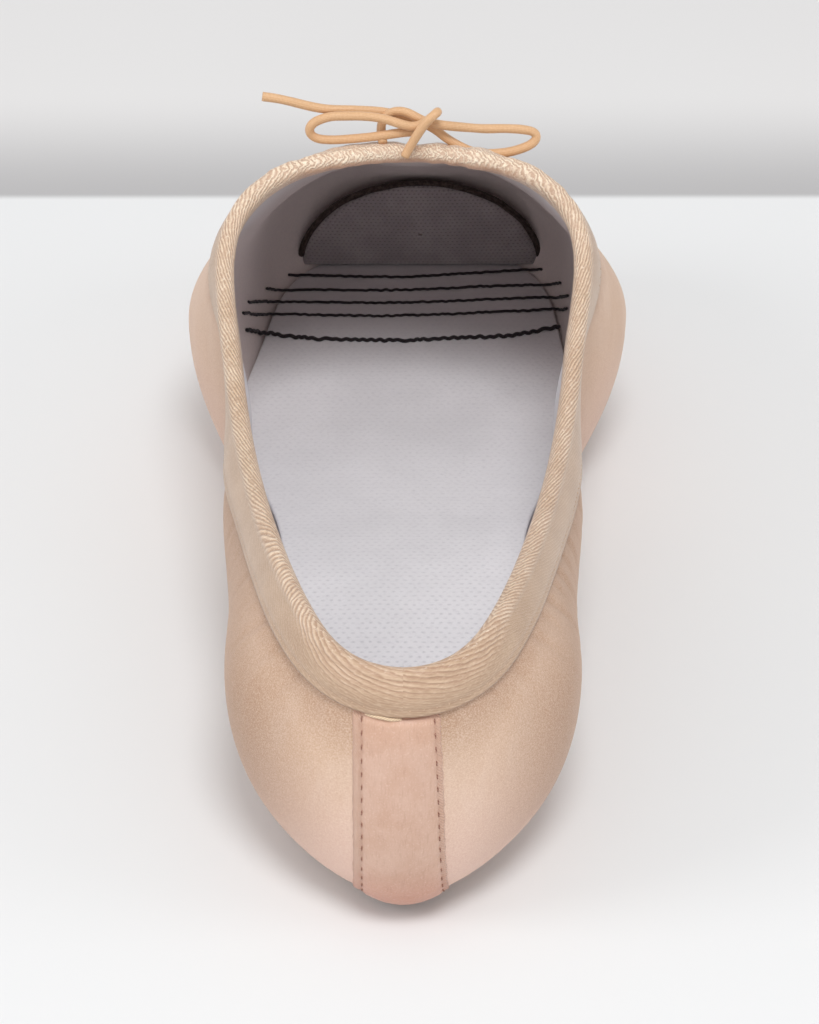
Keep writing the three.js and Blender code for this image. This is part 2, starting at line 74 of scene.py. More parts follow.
CUSHION_RISE = 18.7
CUSHION_THICKNESS = 6
CORD_DIAMETER = 1.8
MIDDLE = np.array([0.951, 119.576, 0.0])  # the frame's origin, from the heel's back

HEEL = HEEL_WIDTH / 2
WAIST = WAIST_WIDTH / 2
BALL = BALL_WIDTH / 2
TOE = TOE_WIDTH / 2
THROAT = LENGTH - VAMP_LENGTH
SOLE_TOP = OUTSOLE_THICKNESS + GAP

# The ribs that the upper is drawn over, from the heel's back to the platform's middle. The columns are
# shares of the sizes named at each rib, as in the solids.
RIB_COLUMNS = (
    "sole_at", "sole_out", "gap", "band",
    "side_at", "side_out", "side_up",
    "top_at", "top_out", "top_up",
    "shoulder", "crown", "reach",
)
RIBS = [
    (  # heel back
        0.0375 * LENGTH, 0, 0, 0.74,
        0, 0, 0.47 * HEEL_HEIGHT,
        0.023 * LENGTH, 0, HEEL_HEIGHT,
        0.74 * HEEL_HEIGHT, 0.84 * HEEL_HEIGHT, 0.45,
    ),
    (  # heel turn
        0.06 * LENGTH, 0.25 * HEEL, 0, 0.74,
        0.029 * LENGTH, 0.49 * HEEL, 0.5 * HEEL_HEIGHT,
        0.0375 * LENGTH, 0.29 * HEEL, HEEL_HEIGHT,
        0.76 * HEEL_HEIGHT, 0.83 * HEEL_HEIGHT, 0.35,
    ),
    (  # heel side
        0.129 * LENGTH, 0.53 * HEEL, 0, 0.78,
        0.129 * LENGTH, HEEL, 0.54 * HEEL_HEIGHT,
        0.112 * LENGTH, 0.6 * HEEL, HEEL_HEIGHT,
        0.77 * HEEL_HEIGHT, 0.84 * HEEL_HEIGHT, 0.25,
    ),
    (  # rear waist
        0.267 * LENGTH, 0.53 * WAIST, 0.5 * WAIST_GAP, 0.84,
        0.275 * LENGTH, 0.92 * WAIST, 0.55 * WAIST_HEIGHT,
        0.258 * LENGTH, 0.735 * WAIST, 1.035 * WAIST_HEIGHT,
        0.78 * WAIST_HEIGHT, 0.87 * WAIST_HEIGHT, 0.28,
    ),
    (  # waist
        0.408 * LENGTH, 0.5 * WAIST, WAIST_GAP, 0.95,
        0.417 * LENGTH, 0.98 * WAIST, 0.66 * WAIST_HEIGHT,
        0.408 * LENGTH, 0.89 * WAIST, WAIST_HEIGHT,
        0.79 * WAIST_HEIGHT, 0.87 * WAIST_HEIGHT, 0.35,
    ),
    (  # front waist
        0.542 * LENGTH, 0.75 * WAIST, 0.625 * WAIST_GAP, 1,
        0.558 * LENGTH, 0.905 * WAIST, 0.6 * WAIST_HEIGHT,
        0.542 * LENGTH, 0.99 * WAIST, 1.1 * WAIST_HEIGHT,
        0.85 * WAIST_HEIGHT, 0.95 * WAIST_HEIGHT, 0.45,
    ),
    (  # ball
        0.7 * LENGTH, 0.65 * BALL, 0, 1,
        0.733 * LENGTH, BALL, 0.42 * THROAT_HEIGHT,
        THROAT - 0.2 * VAMP_LENGTH, 0.78 * BALL, 0.86 * THROAT_HEIGHT,
        0.54 * THROAT_HEIGHT, 0.72 * THROAT_HEIGHT, 0.24,
    ),
    (  # wing
        0.82 * LENGTH, 0.69 * BALL, 0, 1,
        0.85 * LENGTH, 0.84 * BALL, 0.34 * THROAT_HEIGHT,
        THROAT - 0.085 * VAMP_LENGTH, 0.6 * BALL, 0.955 * THROAT_HEIGHT,
        0.56 * THROAT_HEIGHT, 0.72 * THROAT_HEIGHT, 0.3,
    ),
    (  # toe side
        0.9 * LENGTH, 0.77 * TOE, 0, 1,
        0.946 * LENGTH, TOE, 0.58 * TOE_HEIGHT,
        THROAT - 0.028 * VAMP_LENGTH, 0.35 * BALL, 0.99 * THROAT_HEIGHT,
        1.12 * TOE_HEIGHT, 0.63 * THROAT_HEIGHT, 0.62,
    ),
    (  # toe corner
        0.9375 * LENGTH, 0.52 * TOE, 0, 1,
        0.9896 * LENGTH, 0.71 * TOE, 0.55 * TOE_HEIGHT,
        THROAT - 0.007 * VAMP_LENGTH, 0.16 * BALL, THROAT_HEIGHT,
        1.17 * TOE_HEIGHT, 1.21 * TOE_HEIGHT, 0.8,
    ),
    (  # platform
        0.954 * LENGTH, 0, 0, 1,
        LENGTH, 0, 0.55 * TOE_HEIGHT,
        THROAT, 0, THROAT_HEIGHT,
        1.17 * TOE_HEIGHT, 1.14 * TOE_HEIGHT, 0.82,
    ),
]

SOLE_LINE = (
    (0, 0),
    (0.25 * LENGTH, 0),
    (0.42 * LENGTH, ARCH_LIFT),
    (0.62 * LENGTH, 0),
    (0.8 * LENGTH, 0),
    (LENGTH, TOE_SPRING),
)


def smooth(low, high, x):
    t = np.clip((x - low) / (high - low), 0, 1)
    return t * t * (3 - 2 * t)


def periodic_spline(knots, values, period):
    """The values round the shoe as one curve with even curvature, asked for by rib number."""
    n = len(knots)
    width = np.diff(np.append(knots, period))
    rows = np.zeros((n, n))
    right = np.zeros(n)
    for i in range(n):
        before, after = width[i - 1], width[i]
        rows[i, i - 1] += before
        rows[i, i] += 2 * (before + after)
        rows[i, (i + 1) % n] += after
        right[i] = 6 * (
            (values[(i + 1) % n] - values[i]) / after - (values[i] - values[i - 1]) / before
        )
    bend = np.linalg.solve(rows, right)

    def at(place):
        i = np.floor(place).astype(int) % n
        following = (i + 1) % n
        b = place - np.floor(place)
        a = 1 - b
        curve = ((a**3 - a) * bend[i] + (b**3 - b) * bend[following]) * width[i] ** 2
        return a * values[i] + b * values[following] + curve / 6

    return at


RIGHT = len(RIBS) - 1
PLACES = 2 * RIGHT
MIRRORED = ("sole_out", "side_out", "top_out")


def distance_round(points):
    """The distance round a closed row of points, one more than there are points."""
    steps = np.linalg.norm(np.roll(points, -1, axis=0) - points, axis=1)
    return np.concatenate([[0], np.cumsum(steps)])


def distance_along(points):
    """The distance from the first point to each, along an open row of points."""
    steps = np.linalg.norm(np.diff(points, axis=0), axis=1)
    return np.concatenate([[0], np.cumsum(steps)])


def spline_columns():
    ring = [dict(zip(RIB_COLUMNS, row)) for row in RIBS]
    for row in ring[RIGHT - 1 : 0 : -1]:
        ring.append({name: -value if name in MIRRORED else value for name, value in row.items()})
    distances = distance_round(np.array([(row["side_at"], row["side_out"]) for row in ring]))
    columns = {}
    for name in RIB_COLUMNS:
        values = np.array([row[name] for row in ring], float)
        columns[name] = periodic_spline(distances[:-1], values, distances[-1])
    return columns, distances


COLUMNS, DISTANCES = spline_columns()


def sole_lift(at):
    at = np.asarray(at, float)
    lift = np.full(at.shape, float(SOLE_LINE[0][1]))
    for (a, low), (b, high) in zip(SOLE_LINE, SOLE_LINE[1:]):
        lift = np.where(at >= a, low + (high - low) * smooth(a, b, at), lift)
    return lift


def swing(at):
    start = 0.54 * LENGTH
    return TOE_SWING * np.clip((at - start) / (LENGTH - start), 0, None) ** 1.5


def wall_at(at):
    return UPPER_WALL + (BOX_WALL - UPPER_WALL) * smooth(THROAT, THROAT + 0.35 * VAMP_LENGTH, at)


def margin_top(at):
    return SOLE_TOP + sole_lift(at) + wall_at(at)


def insole_top(at):
    return margin_top(at) + GAP + INSOLE_THICKNESS


def bezier(a, b, c, d, t):
    s = 1 - t
    return s**3 * a + 3 * s * s * t * b + 3 * s * t * t * c + t**3 * d


def face_point(place, height):
    """A point of the upper's outer face: height is -2 at the margin's inner edge, -1 at the fold over the
    sole, 0 at the widest line and 1 at the topline."""
    place, height = np.broadcast_arrays(np.asarray(place, float), np.asarray(height, float))
    c = {name: column(place) for name, column in COLUMNS.items()}
    sole_up = SOLE_TOP + sole_lift(c["sole_at"])
    across = np.stack([c["sole_out"] - c["side_out"], c["sole_at"] - c["side_at"]], -1)
    across = across / np.maximum(np.linalg.norm(across, axis=-1, keepdims=True), 1e-9)
    depth = LASTING_MARGIN * np.clip(-1 - height, 0, None)
    under_x = c["sole_out"] + across[..., 0] * depth
    under_y = c["sole_at"] + across[..., 1] * depth
    under = np.stack([under_x, under_y, SOLE_TOP + sole_lift(under_y)], -1)

    t = np.clip(height + 1, 0, 1)
    low_x = bezier(*handles(c["sole_out"], c["side_out"]), t)
    low_y = bezier(*handles(c["sole_at"], c["side_at"]), t)
    low_z = bezier(sole_up, sole_up, c["side_up"] - 0.6 * (c["side_up"] - sole_up), c["side_up"], t)
    lower = np.stack([low_x, low_y, low_z], -1)

    t = np.clip(height, 0, 1)
    pulled_x = c["top_out"] + c["reach"] * (c["side_out"] - c["top_out"])
    pulled_y = c["top_at"] + c["reach"] * (c["side_at"] - c["top_at"])
    high_x = bezier(c["side_out"], c["side_out"], pulled_x, c["top_out"], t)
    high_y = bezier(c["side_at"], c["side_at"], pulled_y, c["top_at"], t)
    high_z = bezier(c["side_up"], c["shoulder"], c["crown"], c["top_up"], t)
    upper = np.stack([high_x, high_y, high_z], -1)

    level = height[..., None]
    point = np.where(level < -1, under, np.where(level < 0, lower, upper))
    point[..., 0] += swing(point[..., 1])
    return point


SOLE_REACH = 0.55  # how far the wall's lower half runs out along the sole before it turns up


def handles(a, b):
    return a, a + SOLE_REACH * (b - a), b, b


STEP = 1e-3


def face_normal(place, height):
    low = np.maximum(np.asarray(height) - STEP, -2)
    high = np.minimum(np.asarray(height) + STEP, 1)
    around = face_point(place + STEP, height) - face_point(place - STEP, height)
    up = face_point(place, high) - face_point(place, low)
    normal = np.cross(around, up)
    return normal / np.linalg.norm(normal, axis=-1, keepdims=True)


def lifted(place, height, lift):
    return face_point(place, height) + face_normal(place, height) * np.asarray(lift)[..., None]


def even_places(count):
    """Places at even distances round the widest line, the first at the heel's back."""
    distance = np.linspace(0, DISTANCES[-1], count, endpoint=False)
    return np.interp(distance, DISTANCES, np.arange(PLACES + 1))


def rib_depths(places, heights):
    """How deep each height lies below the first, measured down each rib."""
    points = face_point(places[None, :], heights[:, None])
    gone = np.cumsum(np.linalg.norm(np.diff(points, axis=0), axis=-1), axis=0)
    return np.vstack([np.zeros(len(places)), gone])


def heights_below(places, depths):
    """The height that lies so deep below the topline at each place."""
    heights = np.linspace(1, -0.2, 240)
    gone = rib_depths(places, heights)
    return np.array([np.interp(depth, gone[:, i], heights) for i, depth in enumerate(depths)])


def depth_below(places, heights):
    """How deep each height lies below the topline, one row for each height."""
    fine = np.linspace(1, -2, 600)
    gone = rib_depths(places, fine)
    return np.stack([np.interp(-heights, -fine, gone[:, i]) for i in range(len(places))], axis=1)


def inward(place, point, distance):
    """Moved square to the shoe's outline in plan, away from its edge."""
    ahead = face_point(place + STEP, 0) - face_point(place - STEP, 0)
    across = np.stack([ahead[..., 1], -ahead[..., 0]], -1)
    across = across / np.linalg.norm(across, axis=-1, keepdims=True)
    moved = np.array(point, float)
    moved[..., :2] -= across * np.asarray(distance)[..., None]
    return moved


UV_SCALE = 0.01  # from millimetres


def to_frame(points):
    return (np.asarray(points, float) - MIDDLE) * MM


def make_object(name, points, faces, uv=None, masks=None, slots=None):
    """A mesh piece. Points are in millimetres, and so is uv, a pair for each corner of each face."""
    mesh = bpy.data.meshes.new(name)
    mesh.from_pydata(to_frame(points).tolist(), [], [tuple(int(i) for i in face) for face in faces])
    mesh.update()
    if uv is not None:
        layer = mesh.uv_layers.new(name="UVMap")
        layer.data.foreach_set("uv", (np.asarray(uv, float).reshape(-1, 2) * UV_SCALE).ravel())
    for mask, values in (masks or {}).items():
        attribute = mesh.attributes.new(mask, "FLOAT", "POINT")
        attribute.data.foreach_set("value", np.asarray(values, np.float32).ravel())
    if slots is not None:
        mesh.polygons.foreach_set("material_index", np.asarray(slots, np.int32).ravel())
    mesh.polygons.foreach_set("use_smooth", [True] * len(mesh.polygons))
    piece = bpy.data.objects.new(name, mesh)
    bpy.context.scene.collection.objects.link(piece)
    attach(piece, "root")
    return piece


def dress(piece, slot, *finishes, stands_for=()):
    """Gives a piece its finishes, and says which of the solids it stands for. The slot is not used."""
    for finish in finishes:
        piece.data.materials.append(finish)
    if stands_for:
        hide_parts(*stands_for)


def signed_volume(points, faces):
    p = np.asarray(points, float)
    f = np.asarray(faces)
    a, b, c, d = (p[f[:, i]] for i in range(4))
    return (np.einsum("ij,ij->i", a, np.cross(b, c)) + np.einsum("ij,ij->i", a, np.cross(c, d))).sum()


def grid_faces(rows, columns, closed_rows=False):
    """Four-sided faces of a grid of points closed round its columns, and each face's row and column."""
    r, c = np.meshgrid(np.arange(rows if closed_rows else rows - 1), np.arange(columns), indexing="ij")
    r, c = r.ravel(), c.ravel()
    r2 = (r + 1) % rows
    c2 = (c + 1) % columns
    faces = np.stack([r * columns + c, r * columns + c2, r2 * columns + c2, r2 * columns + c], -1)
    return faces, r, c


def grid_object(name, grid, closed_rows=False, u=None, v=None, masks=None, slot_of_row=None):
    """A piece from a grid of points. u and v have one row and one column more than there are faces."""
    faces, r, c = grid_faces(*grid.shape[:2], closed_rows)
    uv = None
    if u is not None:
        corners = [(r, c), (r, c + 1), (r + 1, c + 1), (r + 1, c)]
        uv = np.stack([np.stack([u[i, j], v[i, j]], -1) for i, j in corners], 1)
    points = grid.reshape(-1, 3)
    if signed_volume(points, faces) < 0:
        faces = faces[:, ::-1]
        uv = None if uv is None else uv[:, ::-1]
    slots = None if slot_of_row is None else slot_of_row[r]
    return make_object(name, points, faces, uv=uv, masks=masks, slots=slots)


def weld(piece, reach):
    """Joins the points that lie closer than so many millimetres."""
    work = bmesh.new()
    work.from_mesh(piece.data)
    bmesh.ops.remove_doubles(work, verts=work.verts, dist=reach * MM)
    work.to_mesh(piece.data)
    work.free()


def noise_line(table, x):
    """A smooth line through a table's values, one for each step of x, that closes on itself."""
    i = np.floor(x).astype(int)
    t = x - i
    t = t * t * (3 - 2 * t)
    return table[i % len(table)] * (1 - t) + table[(i + 1) % len(table)] * t


def value_noise(x, seed, spacing=1.0):
    """A smooth random line."""
    table = np.random.default_rng(seed).uniform(-1, 1, 4096)
    return noise_line(table, np.asarray(x, float) / spacing)


def periodic_noise(distance, total, seed, spacing):
    """A smooth random line that closes on itself after the whole distance."""
    count = max(4, int(round(total / spacing)))
    table = np.random.default_rng(seed).uniform(-1, 1, count)
    return noise_line(table, np.asarray(distance, float) / total * count)


def frames_along(path):
    """Two directions square to a path and to each other, turned as little as possible."""
    tangent = np.gradient(path, axis=0)
    tangent /= np.linalg.norm(tangent, axis=1, keepdims=True)
    first = np.zeros_like(path)
    guess = np.array([0.0, 0.0, 1.0])
    if abs(tangent[0] @ guess) > 0.9:
        guess = np.array([1.0, 0.0, 0.0])
    for i in range(len(path)):
        guess = guess - tangent[i] * (guess @ tangent[i])
        guess = guess / np.linalg.norm(guess)
        first[i] = guess
    return first, np.cross(tangent, first)


def catmull_rom(points, count):
    """An even row of points on the centripetal spline through the given ones."""
    p = np.asarray(points, float)
    p = np.vstack([2 * p[0] - p[1], p, 2 * p[-1] - p[-2]])
    line = []
    for i in range(1, len(p) - 2):
        four = p[i - 1 : i + 3]
        knots = np.concatenate([[0], np.cumsum(np.linalg.norm(np.diff(four, axis=0), axis=1) ** 0.5)])
        t = np.linspace(knots[1], knots[2], 16, endpoint=False)[:, None]
        row = [four[k] for k in range(4)]
        for span in (1, 2):
            row = [
                (knots[k + span] - t) / (knots[k + span] - knots[k]) * row[k]
                + (t - knots[k]) / (knots[k + span] - knots[k]) * row[k + 1]
                for k in range(4 - span)
            ]
        share = (t - knots[1]) / (knots[2] - knots[1])
        line.append((knots[2] - t) / (knots[2] - knots[1]) * row[0] + share * row[1])
    line = np.vstack(line + [p[-2:-1]])
    gone = distance_along(line)
    even = np.linspace(0, gone[-1], count)
    return np.stack([np.interp(even, gone, line[:, k]) for k in range(3)], -1)


def tube_grid(path, radius, sides):
    """Points round a path, one row for each point of it."""
    first, second = frames_along(path)
    angle = np.linspace(0, 2 * np.pi, sides, endpoint=False)
    ring = first[:, None] * np.cos(angle)[None, :, None] + second[:, None] * np.sin(angle)[None, :, None]
    return path[:, None] + ring * radius[:, None, None]


def tube_faces(rows, sides, start=0):
    """A tube's sides and its two caps."""
    faces = (grid_faces(rows, sides)[0] + start).tolist()
    last = start + (rows - 1) * sides
    return faces + [range(start, start + sides)[::-1], range(last, last + sides)]


def tube_uv(gone, radius, sides):
    """How far along and round a tube each corner of its faces lies. Its caps have no place."""
    around = 2 * np.pi * radius / sides
    uv = []
    for here, there in zip(gone, gone[1:]):
        for j in range(sides):
            low, high = j * around, (j + 1) * around
            uv += [(here, low), (here, high), (there, high), (there, low)]
    return uv + [(0, 0)] * (2 * sides)


def tubes_object(name, paths, radius, sides=8):
    """Many short tubes with rounded ends as one piece."""
    points = []
    faces = []
    uv = []
    for path in paths:
        gone = distance_along(path)
        ends = np.minimum(gone, gone[-1] - gone)
        rounded = np.sqrt(np.clip(1 - (1 - np.clip(ends / radius, 0.0, 1)) ** 2, 0.02, 1))
        faces += tube_faces(len(path), sides, sum(len(p) for p in points))
        points.append(tube_grid(path, radius * rounded, sides).reshape(-1, 3))
        uv += tube_uv(gone, radius, sides)
    return make_object(name, np.vstack(points), faces, uv=uv)


# Materials

def colour(value):
    """A colour as the eye reads it, 0 to 255, for a shader. Anything that isn't three numbers stays."""
    if not isinstance(value, tuple):
        return value
    scale = np.array(value) / 255
    linear = np.where(scale <= 0.04045, scale / 12.92, ((scale + 0.055) / 1.055) ** 2.4)
    return (*(float(c) for c in linear), 1.0)


class Graph:
    """A material's nodes, made and joined in few words."""

    def __init__(self, name):
        self.material = bpy.data.materials.new(name)
        self.material.use_nodes = True
        self.tree = self.material.node_tree
        self.shader = self.tree.nodes["Principled BSDF"]

    def node(self, kind, **settings):
        made = self.tree.nodes.new("ShaderNode" + kind)
        for key, value in settings.items():
            setattr(made, key, value)
        return made

    def put(self, socket, value):
        if isinstance(value, bpy.types.NodeSocket):
            self.tree.links.new(value, socket)
        else:
            socket.default_value = value

    def math(self, operation, first, second=0.0, third=None):
        made = self.node("Math", operation=operation)
        self.put(made.inputs[0], first)
        self.put(made.inputs[1], second)
        if third is not None:
            self.put(made.inputs[2], third)
        return made.outputs[0]

    def times(self, first, *others):
        for other in others:
            first = self.math("MULTIPLY", first, other)
        return first

    def mix(self, share, first, second):
        """Two colours mixed, each another node's or three numbers from 0 to 255."""
        made = self.node("Mix", data_type="RGBA")
        self.put(made.inputs["Factor"], share)
        self.put(made.inputs[6], colour(first))
        self.put(made.inputs[7], colour(second))
        return made.outputs[2]

    def between(self, value, low, high, to_low=0.0, to_high=1.0):
        made = self.node("MapRange", interpolation_type="SMOOTHSTEP")
        self.put(made.inputs["Value"], value)
        made.inputs["From Min"].default_value = low
        made.inputs["From Max"].default_value = high
        made.inputs["To Min"].default_value = to_low
        made.inputs["To Max"].default_value = to_high
        return made.outputs["Result"]

    def millimetres(self, scale=(1, 1, 1)):
        """The place on the shoe in millimetres, times a scale."""
        made = self.node("Mapping")
        self.put(made.inputs["Vector"], self.node("TexCoord").outputs["Object"])
        made.inputs["Scale"].default_value = tuple(s / MM for s in scale)
        return made.outputs["Vector"]

    def cloth_uv(self):
        """The distances along and across a piece of tape or cord, in millimetres."""
        made = self.node("Mapping")
        self.put(made.inputs["Vector"], self.node("TexCoord").outputs["UV"])
        made.inputs["Scale"].default_value = (1 / UV_SCALE,) * 3
        return made.outputs["Vector"]

    def split(self, vector):
        made = self.node("SeparateXYZ")
        self.put(made.inputs[0], vector)
        return made.outputs[0], made.outputs[1], made.outputs[2]

    def noise(self, vector, scale, detail=2.0, rough=0.5, distort=0.0):
        made = self.node("TexNoise")
        self.put(made.inputs["Vector"], vector)
        made.inputs["Scale"].default_value = scale
        made.inputs["Detail"].default_value = detail
        made.inputs["Roughness"].default_value = rough
        made.inputs["Distortion"].default_value = distort
        return made.outputs["Fac"]

    def attribute(self, name):
        made = self.node("Attribute")
        made.attribute_name = name
        return made.outputs["Fac"]

    def bump(self, height, strength, distance, normal=None):
        """A bump of so many millimetres."""
        made = self.node("Bump")
        made.inputs["Strength"].default_value = strength
        made.inputs["Distance"].default_value = distance * MM
        self.put(made.inputs["Height"], height)
        if normal is not None:
            self.put(made.inputs["Normal"], normal)
        return made.outputs["Normal"]

    def set(self, **inputs):
        for name, value in inputs.items():
            self.put(self.shader.inputs[name.replace("_", " ")], value)


def satin_finish():
    """Slipper satin: fine threads across the shoe, a soft broad gloss, peach, with painted tan shade in the
    hollows and where it faces sideways.
    """
    g = Graph("peach_satin")
    at = g.millimetres()
    _, _, z = g.split(at)
    shade = g.noise(at, 0.03, 3, 0.6)
    patch = g.noise(g.millimetres((0.16, 0.16, 0.05)), 1.0, 3, 0.6, 0.6)
    base = g.mix(g.between(shade, 0.35, 0.65), (208, 173, 146), (216, 184, 161))
    base = g.mix(g.between(patch, 0.42, 0.7, 0, 0.35), base, (226, 200, 182))
    low = g.between(z, 36, 8, 0, 0.85)
    base = g.mix(low, base, (221, 185, 171))
    # Painted shade: darker tan in the puckers and pleats.
    crease_shade = g.attribute("crease_shade")
    base = g.mix(g.times(crease_shade, 0.7), base, (176, 138, 112))
    # Painted shade: darker tan where the satin faces sideways and close under the binding.
    sides = g.attribute("side")
    base = g.mix(sides, base, (147, 104, 71))
    weave = g.noise(g.millimetres((1.1, 5.5, 5.5)), 1.0, 2, 0.6)
    fine = g.noise(at, 3.2, 2, 0.7)
    # The weave's flecks: the light ones are painted glints, the dark ones the threads' own tone.
    speckle = g.math("ADD", g.times(weave, 0.6), g.times(fine, 0.6))
    base = g.mix(g.between(speckle, 0.46, 0.8, 0, 0.36), base, (247, 228, 210))
    base = g.mix(g.between(speckle, 0.5, 0.3, 0, 0.22), base, (168, 130, 104))
    g.set(Base_Color=base)
    g.set(Roughness=g.between(fine, 0.3, 0.7, 0.36, 0.5))
    g.set(Anisotropic=0.45, Specular_IOR_Level=0.36, Sheen_Weight=0.2, Sheen_Roughness=0.35)
    g.shader.inputs["Sheen Tint"].default_value = colour((255, 226, 204))
    soft = g.bump(patch, 0.3, 0.6)
    thread = g.bump(weave, 0.35, 0.12, soft)
    g.set(Normal=g.bump(fine, 0.3, 0.07, thread))
    return g.material


LINING_PITCH = 0.62


def lining_finish():
    """White cotton drill inside the upper, with painted shade inside the toe box."""
    g = Graph("white_lining")
    at = g.millimetres()
    _, y, z = g.split(at)
    tone = g.noise(at, 0.05, 3, 0.6)
    base = g.mix(g.between(tone, 0.3, 0.7), (200, 196, 200), (212, 208, 212))
    # Painted shade inside the toe box, deepest towards its roof.
    box = g.mix(g.between(z, 24, 58), (220, 206, 203), (182, 168, 165))
    base = g.mix(g.between(y, 28, 66), base, box)
    along = g.times(g.math("ADD", y, z), 2 * math.pi / LINING_PITCH)
    across = g.times(g.math("SUBTRACT", y, z), 2 * math.pi / LINING_PITCH)
    weave = g.times(g.math("SINE", along), g.math("SINE", across))
    fuzz = g.noise(at, 1.6, 3, 0.7)
    base = g.mix(g.between(fuzz, 0.35, 0.75, 0, 0.16), base, (170, 166, 172))
    g.set(Base_Color=base, Roughness=0.95, Sheen_Weight=0.15, Specular_IOR_Level=0.2)
    g.set(Normal=g.bump(fuzz, 0.5, 0.15, g.bump(weave, 0.3, 0.06)))
    return g.material


def knit_dots(g, at, pitch, rise):
    """Rows of small pits, each row set half a pitch along from the last."""
    x, y, _ = g.split(at)
    row = g.math("DIVIDE", y, rise)
    step = g.times(g.math("FLOOR", row), 0.5)
    column = g.math("ADD", g.math("DIVIDE", x, pitch), step)
    dx = g.times(g.math("SUBTRACT", g.math("FRACT", column), 0.5), pitch)
    dy = g.times(g.math("SUBTRACT", g.math("FRACT", row), 0.5), rise)
    far = g.math("SQRT", g.math("ADD", g.times(dx, dx), g.times(dy, dy, 1.9)))
    return g.between(far, 0.06 * pitch, 0.36 * pitch, 1.0, 0.0)


INSOLE_KNIT = (1.63, 1.42)  # from one pit to the next, and from one row to the next
CUSHION_KNIT = (0.95, 0.72)


def insole_finish():
    """Off-white knit with staggered pits, clearer at the heel, with painted shade towards the toe box."""
    g = Graph("white_insole_knit")
    at = g.millimetres()
    wobble = g.node("TexNoise", noise_dimensions="3D")
    g.put(wobble.inputs["Vector"], at)
    wobble.inputs["Scale"].default_value = 0.35
    moved = g.node("VectorMath", operation="MULTIPLY_ADD")
    g.put(moved.inputs[0], wobble.outputs["Color"])
    moved.inputs[1].default_value = (0.9, 0.9, 0)
    g.put(moved.inputs[2], at)
    pits = knit_dots(g, moved.outputs[0], *INSOLE_KNIT)
    _, y, _ = g.split(at)
    tone = g.noise(at, 0.045, 3, 0.55)
    fuzz = g.noise(at, 1.3, 3, 0.7)
    base = g.mix(g.between(tone, 0.3, 0.7), (229, 227, 230), (237, 235, 238))
    # Painted shade under the vamp: the knit darkens towards the toe box.
    base = g.mix(g.between(y, 64, 102, 0, 0.5), base, (150, 138, 140))
    strength = g.between(y, 30, -70, 0.12, 0.4)
    thickness = g.between(fuzz, 0.35, 0.65, 0.55, 1.0)
    base = g.mix(g.times(pits, strength, thickness), base, (160, 157, 166))
    base = g.mix(g.between(fuzz, 0.45, 0.8, 0, 0.26), base, (196, 193, 199))
    g.set(Base_Color=base, Roughness=0.95, Sheen_Weight=0.2, Specular_IOR_Level=0.2)
    depth = g.math("SUBTRACT", g.times(fuzz, 0.5), g.times(pits, strength))
    g.set(Normal=g.bump(depth, 0.6, 0.22))
    return g.material


def cushion_finish():
    """Dark grey open knit."""
    g = Graph("grey_cushion_knit")
    at = g.millimetres()
    turned = g.node("CombineXYZ")
    x, _, z = g.split(at)
    g.put(turned.inputs[0], x)
    g.put(turned.inputs[1], z)
    pits = knit_dots(g, turned.outputs[0], *CUSHION_KNIT)
    fuzz = g.noise(at, 1.5, 3, 0.7)
    tone = g.noise(at, 0.12, 3, 0.6)
    base = g.mix(g.between(tone, 0.35, 0.65), (148, 139, 142), (160, 151, 153))
    base = g.mix(g.between(fuzz, 0.45, 0.75, 0, 0.4), base, (150, 140, 130))
    base = g.mix(g.times(pits, 0.4), base, (74, 68, 70))
    g.set(Base_Color=base, Roughness=0.95, Sheen_Weight=0.25, Specular_IOR_Level=0.15)
    g.set(Normal=g.bump(g.math("SUBTRACT", fuzz, pits), 0.7, 0.25))
    return g.material


RIB_PITCH = 1.5  # along the tape, where it isn't stretched
RIB_STEP = 0.9  # across the tape, from one rib to the next
LEAN_REACH = 6.4  # twice as far as the ribs show from the roll's top


